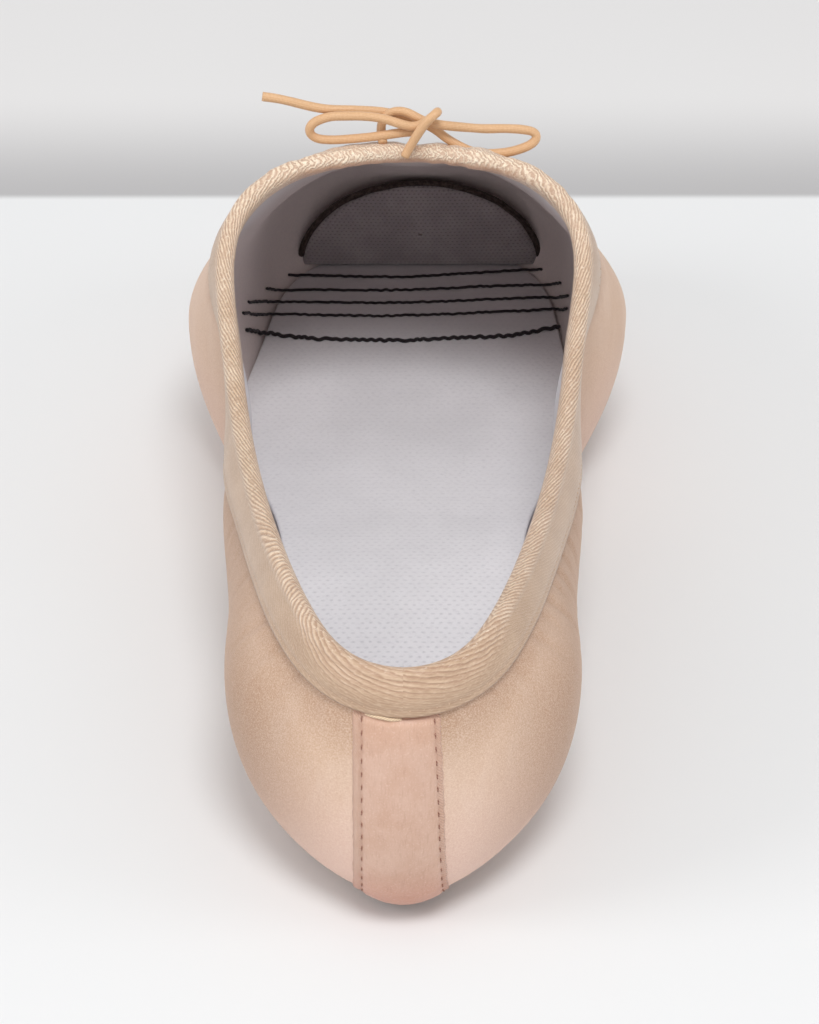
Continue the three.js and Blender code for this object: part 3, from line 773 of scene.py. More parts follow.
def tape_finish():
    """Herringbone tape, its ribs drawn flat down the side, with a painted highlight where it rolls over the
    edge and painted shade in its creases.
    """
    g = Graph("herringbone_tape")
    uv = g.cloth_uv()
    wander = g.noise(uv, 0.22, 2, 0.5)
    u, v, _ = g.split(uv)
    deep = g.math("ABSOLUTE", v)
    bent = g.math("ADD", u, g.times(g.math("SUBTRACT", wander, 0.5), 2.0))
    gather = g.attribute("gather")
    heel = g.attribute("heel")
    curl = g.noise(uv, 0.62, 2, 0.6)
    curled = g.math("ADD", g.math("MULTIPLY_ADD", gather, 4.2, 0.8), g.times(heel, 0.8))
    bent = g.math("ADD", bent, g.times(g.math("SUBTRACT", curl, 0.5), curled))
    # on each flank the ribs lean one way right over the roll
    inner = g.math("MINIMUM", g.math("MAXIMUM", g.times(v, -2.0), 0.0), LEAN_REACH)
    outer = g.math("MINIMUM", g.math("MAXIMUM", g.times(v, 2.0), 0.0), LEAN_REACH)
    across = g.math("SUBTRACT", deep, g.times(g.attribute("right_flank"), inner))
    across = g.math("SUBTRACT", across, g.times(g.attribute("left_flank"), outer))
    steeper = g.math("ADD", g.attribute("right_flank"), g.attribute("left_flank"))
    across = g.times(across, g.math("MULTIPLY_ADD", steeper, 0.55, 1.0))
    turns = g.math("SUBTRACT", g.math("DIVIDE", bent, RIB_PITCH), g.math("DIVIDE", across, RIB_STEP))
    wave = g.math("SINE", g.times(turns, 2 * math.pi))
    reach = g.math("ADD", g.math("MULTIPLY_ADD", heel, 2.9, 2.1), g.times(gather, 4.0))
    fold = g.attribute("fold")
    plain = g.math("SUBTRACT", 1.0, fold)
    near = g.math("SUBTRACT", 1.0, g.between(g.math("DIVIDE", deep, reach), 0.75, 1.45, 0.0, 0.94))
    near = g.times(near, plain)
    uneven = g.between(g.noise(uv, 0.8, 2, 0.6), 0.3, 0.62, 0.35, 1.0)
    crest = g.times(g.between(wave, -0.7, 0.7), uneven)
    sparkle = g.between(g.noise(uv, 1.7, 2, 0.7), 0.54, 0.7)
    threads = g.noise(uv, 3.0, 2, 0.6)
    tone = g.noise(uv, 0.12, 3, 0.6)
    band = g.mix(g.between(tone, 0.3, 0.7), (172, 142, 117), (184, 155, 130))
    # Painted highlight: the rib crests over the roll are painted lighter than the band, dimmer at the heel
    # and lightest in the throat's gathers, where the valleys lighten too.
    roll_highlight = g.mix(g.between(tone, 0.3, 0.7), (226, 196, 166), (242, 220, 196))
    valley = g.mix(g.between(tone, 0.3, 0.7), (172, 138, 113), (186, 152, 127))
    valley = g.mix(g.times(gather, 0.8), valley, (214, 182, 158))
    roll_highlight = g.mix(gather, roll_highlight, (252, 236, 212))
    roll = g.mix(crest, valley, g.mix(g.times(heel, 0.7), roll_highlight, (192, 161, 133)))
    base = g.mix(near, band, roll)
    base = g.mix(g.times(fold, 0.85), base, (206, 160, 132))
    apex = g.between(deep, 2.6, 0.4)
    glint = g.times(g.math("MAXIMUM", g.times(apex, 0.55), gather), near, sparkle)
    base = g.mix(glint, base, (253, 240, 222))
    fine = g.math("SINE", g.times(turns, 4 * math.pi))
    base = g.mix(g.between(fine, 0.2, 1.0, 0, 0.16), base, (236, 210, 182))
    base = g.mix(g.between(threads, 0.45, 0.8, 0, 0.3), base, (232, 208, 184))
    base = g.mix(g.between(threads, 0.5, 0.25, 0, 0.25), base, (160, 128, 102))
    # Painted shade along the tape's folded lower edge, its hem and the hollows of its gathers.
    crease_shade = g.attribute("crease_shade")
    base = g.mix(crease_shade, base, (150, 112, 88))
    g.set(Base_Color=base, Roughness=g.between(crest, 0, 1, 0.5, 0.36))
    g.set(Anisotropic=0.3, Specular_IOR_Level=0.45, Sheen_Weight=0.25, Sheen_Roughness=0.4)
    flatter = g.math("MULTIPLY_ADD", heel, -0.45, 1.0)
    rounded = g.times(wave, near, uneven, flatter)
    height = g.math("ADD", g.times(rounded, 0.5), g.times(fine, 0.06))
    height = g.math("ADD", height, g.times(curl, gather, 1.4))
    g.set(Normal=g.bump(threads, 0.4, 0.12, g.bump(height, 0.7, 0.24)))
    return g.material


TWILL_PITCH = 0.55


def strip_finish():
    """The heel's satin tape: a smooth panel between two seams and a twilled edge outside each."""
    g = Graph("heel_tape")
    uv = g.cloth_uv()
    u, v, _ = g.split(uv)
    at = g.millimetres()
    _, _, z = g.split(at)
    edge = g.attribute("edge")
    tone = g.noise(uv, 0.2, 3, 0.6, 0.4)
    fine = g.noise(g.millimetres((3, 3, 3)), 1.0, 2, 0.7)
    base = g.mix(g.between(tone, 0.3, 0.7), (202, 164, 143), (210, 175, 156))
    # Painted shade: darker and more orange near the floor, and under the binding at the top.
    base = g.mix(g.between(z, 16, 2, 0, 0.9), base, (197, 137, 114))
    base = g.mix(g.between(z, 36, 42, 0, 0.35), base, (206, 160, 132))
    twill = g.math("SINE", g.times(g.math("ADD", u, v), 2 * math.pi / TWILL_PITCH))
    base = g.mix(g.times(edge, g.between(twill, -0.2, 0.9, 0, 0.3)), base, (190, 152, 130))
    fibre = g.noise(g.millimetres((3.4, 1.2, 0.5)), 1.0, 2, 0.7)
    base = g.mix(g.between(fine, 0.5, 0.8, 0, 0.3), base, (240, 218, 202))
    base = g.mix(g.between(fibre, 0.5, 0.3, 0, 0.2), base, (170, 126, 106))
    # Painted shade along the seams and edges and under the binding.
    crease_shade = g.attribute("crease_shade")
    base = g.mix(crease_shade, base, (166, 118, 98))
    g.set(Base_Color=base, Roughness=0.42, Anisotropic=0.4, Specular_IOR_Level=0.45)
    g.set(Sheen_Weight=0.25, Sheen_Roughness=0.4)
    weave = g.bump(g.times(twill, edge), 0.5, 0.1, g.bump(tone, 0.35, 0.5))
    g.set(Normal=g.bump(fine, 0.35, 0.08, weave))
    return g.material


BRAID_PITCH = 0.52


def cord_finish():
    """Fine round braid, tan."""
    g = Graph("tan_cord")
    uv = g.cloth_uv()
    u, v, _ = g.split(uv)
    slant = g.times(v, 0.8)
    one = g.math("SINE", g.times(g.math("ADD", u, slant), 2 * math.pi / BRAID_PITCH))
    two = g.math("SINE", g.times(g.math("SUBTRACT", u, slant), 2 * math.pi / BRAID_PITCH))
    braid = g.times(one, two)
    fine = g.noise(g.millimetres(), 2.4, 2, 0.7)
    base = g.mix(g.between(braid, -0.6, 0.6), (208, 160, 117), (222, 181, 137))
    base = g.mix(g.between(fine, 0.4, 0.8, 0, 0.35), base, (234, 198, 156))
    g.set(Base_Color=base, Roughness=0.4, Sheen_Weight=0.1, Specular_IOR_Level=0.5)
    g.set(Normal=g.bump(fine, 0.3, 0.06, g.bump(braid, 0.35, 0.05)))
    return g.material


def leather_finish():
    """Buffed leather with a fine grain, scuffed where it meets the floor."""
    g = Graph("buffed_leather")
    at = g.millimetres()
    tone = g.noise(at, 0.06, 4, 0.6)
    grain = g.node("TexVoronoi", feature="F1")
    g.put(grain.inputs["Vector"], at)
    grain.inputs["Scale"].default_value = 1.3
    pores = g.noise(at, 1.8, 3, 0.7)
    base = g.mix(g.between(tone, 0.3, 0.7), (178, 152, 124), (202, 178, 150))
    worn = g.between(g.noise(g.millimetres((1, 0.25, 1)), 0.09, 4, 0.7), 0.52, 0.7, 0, 0.4)
    base = g.mix(worn, base, (150, 126, 102))
    base = g.mix(g.between(pores, 0.5, 0.8, 0, 0.35), base, (130, 106, 84))
    rim = g.attribute("edge")
    base = g.mix(rim, base, (146, 116, 90))
    g.set(Base_Color=base, Roughness=g.between(pores, 0.3, 0.7, 0.68, 0.86), Specular_IOR_Level=0.3)
    g.set(Normal=g.bump(pores, 0.4, 0.12, g.bump(grain.outputs["Distance"], 0.4, 0.12)))
    return g.material


TWIST_PITCH = 0.5


def thread_finish(name, low, high, rough=0.75):
    """Spun thread with a twist."""
    g = Graph(name)
    uv = g.cloth_uv()
    u, v, _ = g.split(uv)
    twist = g.math("SINE", g.times(g.math("ADD", u, v), 2 * math.pi / TWIST_PITCH))
    fuzz = g.noise(g.millimetres(), 2.6, 3, 0.7)
    base = g.mix(g.between(twist, -0.5, 0.7), low, high)
    base = g.mix(g.between(fuzz, 0.5, 0.8, 0, 0.3), base, high)
    g.set(Base_Color=base, Roughness=rough, Sheen_Weight=0.15, Specular_IOR_Level=0.25)
    g.set(Normal=g.bump(twist, 0.5, 0.1, g.bump(fuzz, 0.3, 0.1)))
    return g.material


def piping_shade_finish():
    """Dark brown cloth that edges the cushion, made as dark as painted shade for the gap between the pad and
    the box's wall.
    """
    g = Graph("dark_piping_shade")
    at = g.millimetres()
    fuzz = g.noise(at, 1.4, 3, 0.7)
    base = g.mix(g.between(fuzz, 0.35, 0.7), (44, 34, 32), (78, 66, 62))
    g.set(Base_Color=base, Roughness=0.95, Specular_IOR_Level=0.2, Sheen_Weight=0.1)
    g.set(Normal=g.bump(fuzz, 0.6, 0.2))
    return g.material


WALL_LINE = 169.424  # where the backdrop's shade begins


def floor_finish():
    """A smooth pale floor, in a band of soft shade far behind the shoe."""
    g = Graph("studio_floor")
    at = g.millimetres()
    _, y, _ = g.split(at)
    band = g.between(y, WALL_LINE - 3, WALL_LINE + 0.5, 0, 1)
    lighter = g.between(y, WALL_LINE - 4, WALL_LINE + 55)
    shade = g.mix(lighter, (184, 183, 184), (226, 225, 225))
    base = g.mix(band, (231, 232, 233), shade)
    haze = g.noise(at, 0.004, 2, 0.5)
    base = g.mix(g.between(haze, 0.4, 0.6, 0, 0.04), base, (200, 200, 200))
    g.set(Base_Color=base, Roughness=0.9, Specular_IOR_Level=0.1)
    return g.material


# The camera and the bow's cords come first

CAMERA_AT = (-0.951, -799.84, 473.60)
CAMERA_DOWN = 29.805
CAMERA_TURN = 0.089
LENS = 169.8

camera_data = bpy.data.cameras.new("camera")
camera_data.lens = LENS
camera_data.sensor_width = 36
camera_data.clip_start = 0.05
camera_data.clip_end = 20
camera = bpy.data.objects.new("camera", camera_data)
bpy.context.scene.collection.objects.link(camera)
camera.location = tuple(c * MM for c in CAMERA_AT)
camera.rotation_euler = (math.radians(90 - CAMERA_DOWN), 0, math.radians(-CAMERA_TURN))
bpy.context.scene.camera = camera

THROAT_EDGE = np.array([float(swing(THROAT)), THROAT, THROAT_HEIGHT])
# Steps right, forward and up from the throat's edge
FIRST_STRAND = [
    (-4.6, 0.6, 1.2), (-4.9, 1.9, 1.8), (-5.0, 3.0, 2.9), (-4.8, 3.7, 4.2), (-4.0, 4.0, 5.3),
    (-2.7, 3.8, 6.3), (-1.1, 3.3, 6.7), (0.6, 2.6, 6.5), (2.1, 2.1, 5.8), (4.3, 1.8, 5.0),
    (6.9, 1.6, 4.5), (11.3, 1.4, 4.1), (15.2, 1.4, 3.8), (19.3, 1.5, 3.8), (23.1, 1.7, 3.4),
    (25.0, 2.0, 2.7), (25.4, 1.8, 1.7), (24.4, 1.5, 0.5), (20.8, 1.2, -0.9), (18.2, 1.1, -1.3),
    (15.3, 1.1, -1.4), (12.7, 1.3, -1.0), (10.5, 1.8, -0.2), (7.7, 2.9, 1.1), (5.3, 3.9, 2.7),
    (2.2, 4.6, 3.9), (-1.3, 5.0, 4.9), (-4.6, 4.9, 5.8), (-10.2, 4.0, 6.6), (-13.5, 3.5, 6.9),
    (-16.5, 3.0, 7.4), (-19.5, 2.7, 8.2), (-22.4, 2.5, 9.1), (-25.3, 2.5, 9.8), (-28.0, 2.5, 10.2),
]
SECOND_STRAND = [
    (-0.4, -2.9, -0.2), (0.3, -2.7, 1.2), (1.6, -2.6, 3.6), (2.6, -2.6, 5.3), (3.5, -2.6, 6.7),
    (4.4, -2.5, 7.7), (5.3, -2.2, 8.4), (5.9, -1.4, 8.7), (6.0, -0.3, 8.2), (5.3, 0.4, 7.2),
    (4.1, 0.4, 6.1), (2.9, 0.1, 5.3), (1.0, 0.0, 4.9), (-1.5, 0.2, 5.5), (-4.6, 0.7, 6.3),
    (-8.6, 1.0, 6.7), (-12.6, 1.2, 6.6), (-14.7, 1.3, 6.5), (-16.5, 1.4, 5.9), (-18.2, 1.5, 5.0),
    (-19.0, 1.6, 3.6), (-18.7, 1.8, 2.4), (-17.5, 1.9, 1.5), (-14.8, 1.9, 1.2), (-10.2, 1.6, 1.6),
    (-5.4, 1.1, 2.4), (-1.1, 1.1, 3.1), (1.6, 1.8, 3.0),
]
CORD_STEP = 0.45
CORD_SIDES = 14
CORD_SMOOTHING = 4

tan_cord = cord_finish()


def strand(name, steps, seed, nodes):
    """One end of the drawstring, tied in the bow."""
    points = np.array(steps) + THROAT_EDGE
    length = distance_along(catmull_rom(points, 400))[-1]
    count = int(length / CORD_STEP)
    path = catmull_rom(points, count)
    gone = np.linspace(0, length, count)
    for _ in range(CORD_SMOOTHING):
        path[1:-1] = 0.25 * path[:-2] + 0.5 * path[1:-1] + 0.25 * path[2:]
    radius = CORD_DIAMETER / 2
    grid = tube_grid(path, radius * (1 + 0.035 * value_noise(gone, seed, 3.0)), CORD_SIDES)
    uv = tube_uv(gone, radius, CORD_SIDES)
    piece = make_object(name, grid.reshape(-1, 3), tube_faces(count, CORD_SIDES), uv=uv)
    dress(piece, "cord", tan_cord, stands_for=nodes)


strand(
    "bow_first_strand", FIRST_STRAND, 16,
    ["drawstring_riser", "drawstring_right_loop", "drawstring_left_end", "drawstring_knot"],
)
strand(
    "bow_second_strand", SECOND_STRAND, 36,
    ["drawstring_right_end", "drawstring_left_loop"],
)

# The upper: satin outside, cotton inside, drawn in small puckers under the binding

AROUND = 520
OUTSIDE_ROWS = 104
INSIDE_ROWS = 44
PLEAT_PITCH = 4.6

places = even_places(AROUND)
widest = np.linspace(0, DISTANCES[-1], AROUND, endpoint=False)
under_heights = np.concatenate([np.linspace(-2, -1.02, 8), np.linspace(-1, -0.6, 14)])
side_heights = 1 - np.linspace(1, 0, OUTSIDE_ROWS - len(under_heights) + 1)[1:] ** 1.12 * 1.6
outside_heights = np.concatenate([under_heights, side_heights])
depths = depth_below(places, outside_heights)
band_depth = BINDING_DEPTH_OUTSIDE * COLUMNS["band"](places)
at_points = face_point(places, 0.0)

# Where each pucker lies round the widest line from the heel's back, how far it runs down from the binding,
# its width and its depth, in millimetres; the right side first, then the left, counted back from the end.
PUCKERS = [
    (24, 9, 3.0, 0.16), (34, 7, 2.6, 0.14), (47, 13, 3.4, 0.26), (55, 8, 2.4, 0.2), (62, 15, 3.2, 0.36),
    (69, 9, 2.2, 0.26), (75, 17, 3.0, 0.4), (82, 11, 2.3, 0.3), (89, 14, 2.8, 0.32), (96, 8, 2.2, 0.22),
    (105, 12, 3.2, 0.26), (114, 7, 2.4, 0.18), (123, 10, 3.0, 0.22), (133, 6, 2.4, 0.16),
    (144, 9, 3.2, 0.2), (157, 7, 2.8, 0.16), (170, 8, 3.0, 0.18), (184, 6, 2.6, 0.16),
    (197, 9, 3.0, 0.2), (208, 6, 2.6, 0.16), (-20, 8, 2.8, 0.15), (-31, 11, 3.2, 0.2),
    (-42, 8, 2.6, 0.18), (-53, 13, 3.4, 0.26), (-63, 7, 2.4, 0.16), (-73, 12, 3.2, 0.24),
    (-84, 8, 2.6, 0.18), (-95, 11, 3.0, 0.22), (-107, 7, 2.6, 0.16), (-119, 9, 3.0, 0.18),
    (-132, 7, 2.6, 0.16), (-146, 9, 3.2, 0.18), (-160, 6, 2.6, 0.14), (-174, 8, 3.0, 0.16),
    (-190, 7, 2.8, 0.16), (-205, 8, 3.0, 0.18),
]
relief = np.zeros(depths.shape)
# Painted shade for the satin's puckers and pleats, kept as a mask.
crease_shade = np.zeros(depths.shape)
total = DISTANCES[-1]
below = np.maximum(depths - band_depth[None, :], 0)


def away_from(at):
    """How far each place lies from one so far round the widest line."""
    return (widest - at + total / 2) % total - total / 2


for at, run, width, sunk in PUCKERS:
    lean = away_from(at)[None, :] - 0.18 * below * (1 if at > 0 else -1)
    fades = np.exp(-((below / run) ** 2) * 1.6)
    shape = np.exp(-((lean / (0.42 * width)) ** 2)) * fades
    relief -= 1.25 * sunk * shape
    relief += 0.5 * sunk * np.exp(-(((lean - 0.62 * width) / (0.4 * width)) ** 2)) * fades
    crease_shade += 0.5 * shape * sunk / 0.3

# Broad soft hollows and swells, as the drawn-on satin has: distance round, height, half sizes, lift
SWELLS = [
    (16, 0.45, 7, 0.9, 0.35), (-17, 0.4, 7, 0.9, 0.35), (30, 0.1, 9, 0.8, -0.3),
    (-32, 0.15, 10, 0.8, -0.35), (64, 0.2, 20, 0.7, 0.35), (-66, 0.25, 20, 0.7, 0.4),
    (98, 0.1, 14, 0.8, -0.4), (-98, 0.1, 14, 0.8, -0.3), (150, 0.3, 24, 0.7, 0.3),
    (-152, 0.3, 24, 0.7, 0.3),
]
for at, level, wide, tall, lift in SWELLS:
    up = (outside_heights - level)[:, None]
    relief += lift * np.exp(-((away_from(at)[None, :] / wide) ** 2)) * np.exp(-((up / tall) ** 2))

# Under the toe and heel the satin is gathered into pleats that run in to the sole
along_share = at_points[:, 1] / LENGTH
toe_share = smooth(0.72, 0.9, along_share)
heel_share = 1 - smooth(0.05, 0.16, along_share)
pleat_phase = widest / PLEAT_PITCH + 0.35 * periodic_noise(widest, total, 5, 9)
pleat = np.abs(np.sin(np.pi * pleat_phase)) ** 0.7
level = np.exp(-(((outside_heights + 1.05) / 0.24) ** 2))[:, None]
relief -= 0.75 * (1 - pleat)[None, :] * level * (toe_share + 0.55 * heel_share)[None, :]
# painted shade in the pleats' hollows
crease_shade += 0.8 * (1 - pleat)[None, :] ** 2 * level * (toe_share + 0.4 * heel_share)[None, :]

fade = smooth(-2.0, -1.6, outside_heights)[:, None]
outside = lifted(places[None, :], outside_heights[:, None], np.minimum(relief * fade, 0.6))
inside_heights = 1 - np.linspace(0, 1, INSIDE_ROWS) ** 1.1 * 3
wall = wall_at(face_point(places[None, :], inside_heights[:, None])[..., 1])
ripple = 0.25 * periodic_noise(widest, total, 9, 17)[None, :]
ripple = ripple * np.sin(np.pi * np.linspace(0, 1, INSIDE_ROWS))[:, None]
inside = lifted(places[None, :], inside_heights[:, None], -wall + np.minimum(ripple, 0))
bare_inside = np.zeros(inside.shape[:2])

# The satin's painted shade: darker where it faces sideways and close under the binding
sideways = np.abs(face_normal(places[None, :], outside_heights[:, None] * np.ones((1, AROUND)))[..., 0])
side_shade = 0.85 * smooth(0.55, 1.0, sideways) * smooth(-1.0, -0.3, outside_heights)[:, None]
side_shade *= 1 - 0.7 * smooth(0.5, 0.7, along_share)[None, :]
side_shade = np.maximum(side_shade, 0.62 * np.exp(-((below / 8.5) ** 2)))
upper = grid_object(
    "shoe_upper",
    np.concatenate([outside, inside]),
    closed_rows=True,
    masks={
        "crease_shade": np.concatenate([np.clip(crease_shade, 0, 1), bare_inside]),
        "side": np.concatenate([side_shade, bare_inside]),
    },
    slot_of_row=np.array([0] * (len(outside) - 1) + [1] * (len(inside) + 1)),
)
dress(upper, "satin", satin_finish(), lining_finish(), stands_for=["upper"])

# The binding: herringbone tape over the edge, gathered at the throat where the drawstring comes out

TAPE_AROUND = 1400
tape_places = even_places(TAPE_AROUND)
topline = face_point(tape_places, 1.0)
round_top = distance_round(topline)
top_total = round_top[-1]
u_line = round_top[:-1]
from_throat = u_line - top_total / 2
cover = GAP + TAPE_THICKNESS
tape_wall = wall_at(topline[:, 1])
outward = face_normal(tape_places, np.ones(TAPE_AROUND))
rise = topline - face_point(tape_places, 1.0 - STEP)
rise /= np.linalg.norm(rise, axis=1, keepdims=True)
rim = lifted(tape_places, np.ones(TAPE_AROUND), -tape_wall / 2)
roll = tape_wall / 2 + cover

gather = np.exp(-((from_throat / 34) ** 2))
fine_wave = periodic_noise(u_line, top_total, 21, 1.9) * gather
coarse_wave = periodic_noise(u_line, top_total, 22, 4.2) * (gather + 0.12)
outside_depth = BINDING_DEPTH_OUTSIDE * COLUMNS["band"](tape_places)
outside_depth = outside_depth + 0.22 * periodic_noise(u_line, top_total, 23, 16)

OUT_ROWS = 20
ROLL_ROWS = 16
IN_ROWS = 7
HEM = 1.15  # from the binding's lower edge up to its stitches
rows = []
v_rows = []


def band_row(deep, lift, across):
    """A row of the tape so deep below the topline, and its distance across the tape."""
    rows.append(lifted(tape_places, heights_below(tape_places, deep), lift))
    v_rows.append(across)


# up the outside, from its folded lower edge
for turn in np.linspace(0, math.pi / 2, 3):
    sunk = outside_depth + 0.25 * math.sin(turn) - 0.25
    band_row(sunk, 0.12 + (cover - 0.12) * (1 - math.cos(turn)), sunk + 0.6 * (1 - math.sin(turn)))
for share in np.linspace(0, 1, OUT_ROWS + 1)[1:]:
    deep = outside_depth * (1 - share)
    pad = 0.45 * math.sin(math.pi * min(share * 1.05, 1)) ** 0.8
    hem = -0.14 * np.exp(-(((deep - (outside_depth - HEM)) / 0.45) ** 2))
    wave = 0.3 * fine_wave * share + 0.42 * coarse_wave * math.sin(math.pi * share) ** 0.5
    band_row(deep, cover + pad + hem + wave, deep)
# over the roll
for turn in math.pi * np.arange(1, ROLL_ROWS) / ROLL_ROWS:
    wide = roll * (1 + 0.06 * math.sin(turn)) + 0.3 * fine_wave + 0.2 * coarse_wave * math.sin(turn)
    out = outward * (wide * math.cos(turn))[:, None]
    rows.append(rim + out + rise * (wide * math.sin(turn))[:, None])
    v_rows.append(-roll * turn)
# down the inside, and back up close to the wall
inside_depth = BINDING_DEPTH_INSIDE + 0.15 * periodic_noise(u_line, top_total, 25, 12)
for share in np.linspace(0, 1, IN_ROWS):
    lift = -tape_wall - cover * (1 - 0.25 * share**4) - 0.2 * fine_wave * (1 - share)
    band_row(inside_depth * share, lift, -roll * math.pi - inside_depth * share)
last_v = v_rows[-1] - 0.5
band_row(inside_depth, -tape_wall - GAP * 0.5, last_v)
for share in (0.5, 0.0):
    band_row(inside_depth * share, -tape_wall - GAP, last_v)
for side in (-1, 1):
    rows.append(rim + outward * (side * (tape_wall / 2 + GAP))[:, None] + rise * GAP)
    v_rows.append(last_v)
for share in (0.5, 1.0):
    band_row((outside_depth - 0.4) * share, GAP * 0.6, last_v)

tape_grid = np.stack(rows)
v_rows = np.stack([np.broadcast_to(v, (TAPE_AROUND,)) for v in v_rows])
# across the tape is counted from the roll's top, positive down the outside
v_signed = v_rows + roll * math.pi / 2
# where the tape is stretched round the heel its ribs lie nearly along it
from_heel = np.minimum(u_line, top_total - u_line)
at_heel = 1 - smooth(9, 34, from_heel)
flank = smooth(14, 90, from_heel) * (1 - np.exp(-((from_throat / 26) ** 2)))
rib_pitch = 1.15 + 3.4 * at_heel - 0.3 * np.exp(-((from_throat / 60) ** 2)) + 1.1 * flank
ribs_gone = np.concatenate([[0], np.cumsum(np.diff(round_top) / rib_pitch)])
ribs_gone = ribs_gone * (round(ribs_gone[-1]) / ribs_gone[-1])
u_full = np.broadcast_to(RIB_PITCH * ribs_gone[None, :], (len(rows) + 1, TAPE_AROUND + 1))
v_full = np.concatenate([v_signed, v_signed[:1]])
v_full = np.concatenate([v_full, v_full[:, :1]], axis=1)
# Painted shade: darker at the tape's folded lower edge, along its hem and in the hollows of the throat's
# gathers.
edge_shade = np.zeros(v_signed.shape)
edge_shade[:3] = 0.6
above_edge = outside_depth[None, :] - v_rows
edge_shade += 0.12 * np.exp(-(((above_edge - HEM) / 0.4) ** 2)) * (v_rows > 0)
edge_shade += 0.3 * gather[None, :] * np.clip(-coarse_wave - 0.2, 0, 1)[None, :]
round_masks = {
    "heel": at_heel,
    "right_flank": flank * (from_throat < 0),
    "left_flank": flank * (from_throat >= 0),
    "gather": np.exp(-((from_throat / 40) ** 2)),
}
masks = {name: np.broadcast_to(values, v_signed.shape) for name, values in round_masks.items()}
masks["crease_shade"] = np.clip(edge_shade, 0, 1)
masks["fold"] = smooth(-0.7, -1.7, v_signed) * np.exp(-((from_throat / 24) ** 6))[None, :]
binding = grid_object("binding", tape_grid, closed_rows=True, u=u_full, v=v_full, masks=masks)
dress(binding, "tape", tape_finish(), stands_for=["topline_binding"])

# Small stitches along the binding's lower edge

STITCH_PITCH = 1.8
STITCH_HALF = 0.45
STITCH_RADIUS = 0.1
paths = []
for k in range(int(top_total / STITCH_PITCH)):
    at = (k + 0.5) * STITCH_PITCH
    ends = np.array([at - STITCH_HALF, at, at + STITCH_HALF]) % top_total
    places_here = np.interp(ends, round_top, np.append(tape_places, PLACES))
    level = heights_below(places_here, np.interp(ends, u_line, outside_depth - HEM))
    paths.append(lifted(places_here, level, cover + np.array([-0.05, 0.16, -0.05])))
binding_stitches = tubes_object("binding_stitches", paths, STITCH_RADIUS, 6)
dress(binding_stitches, "tape", thread_finish("peach_thread", (186, 154, 128), (212, 184, 158), 0.55))

# The heel strip, sewn down each side, its top tucked under the binding

STRIP_ACROSS = 72
STRIP_UP = 150
SEAM_HALF_TOP = 5.8  # from the strip's middle to each row of stitches
SEAM_HALF_BOTTOM = 6.9
FLANGE_LEFT = 1.7  # the fuzzy edge outside each seam
FLANGE_RIGHT = 1.1
STRIP_TUCK = 2.2  # how far its top lies under the binding
SEAM_PITCH = 2.45
SEAM_STITCH = 1.3
SEAM_START = 0.9  # the first stitch, from the strip's foot
SEAM_END = 3.0  # the last stitch, from the strip's top
SEAM_RADIUS = 0.13
EDGE_WAVE = 0.12
binding_here = RIBS[0][3] * BINDING_DEPTH_OUTSIDE
strip_top = float(heights_below(np.array([0.0]), [binding_here - STRIP_TUCK])[0])
strip_levels = np.linspace(STRIP_FOOT, strip_top, STRIP_UP)
strip_shares = np.linspace(-1, 1, STRIP_ACROSS)
strip_flange = np.where(strip_shares < 0, FLANGE_LEFT, FLANGE_RIGHT)
near_places = np.linspace(-2, 2, 600)


def strip_share(level):
    return (level - STRIP_FOOT) / (strip_top - STRIP_FOOT)


def strip_half(level):
    return SEAM_HALF_BOTTOM + (SEAM_HALF_TOP - SEAM_HALF_BOTTOM) * strip_share(level)


def strip_place(offset, level):
    """The place on the heel so far from the strip's middle."""
    x = face_point(near_places, level)[:, 0]
    return np.interp(offset + STRIP_SHIFT * strip_share(level), x, near_places)


def front_and_back(values):
    return np.concatenate([values, values[:, ::-1]], axis=1)


def closed(values):
    return np.concatenate([values, values[:, :1]], axis=1)


strip_places = []
for level in strip_levels:
    half = strip_half(level) + strip_flange + EDGE_WAVE * value_noise(level * 40, 41)
    strip_places.append(strip_place(strip_shares * half, level))
strip_places = np.array(strip_places)
strip_points = face_point(strip_places, strip_levels[:, None])
strip_gone = distance_along(strip_points[:, STRIP_ACROSS // 2])
halves = strip_half(strip_levels)[:, None]
offset = strip_shares[None, :] * (halves + strip_flange[None, :])
from_seam = np.abs(offset) - halves
from_top = strip_gone[-1] - strip_gone
tuck = 1 - smooth(1.6, 4.2, from_top)[:, None]
panel = 0.4 * np.clip(1 - (offset / halves) ** 2, 0, 1) ** 0.6
pull = 0.12 * np.exp(-((from_seam / 0.5) ** 2))
pull = pull * (0.75 + 0.25 * np.cos(2 * np.pi * strip_gone / SEAM_PITCH))[:, None]
quilt = 0.06 * np.sin(strip_gone / 3.1 + 0.5)[:, None] * np.clip(1 - (offset / 5.2) ** 2, 0, 1)
worn = 0.3 * np.clip(from_seam / strip_flange[None, :], 0, 1) ** 2
strip_lift = (0.62 + panel - pull * 2.2 + quilt - worn) * (1 - tuck) + 0.16 * tuck
# a thin sheet: its back lies just inside its face, and its edges are pressed down
strip_back = lifted(strip_places, strip_levels[:, None], np.minimum(strip_lift - 0.12, 0.05))
strip_lift[:, [0, -1]] = 0.1
strip_outer = lifted(strip_places, strip_levels[:, None], strip_lift)
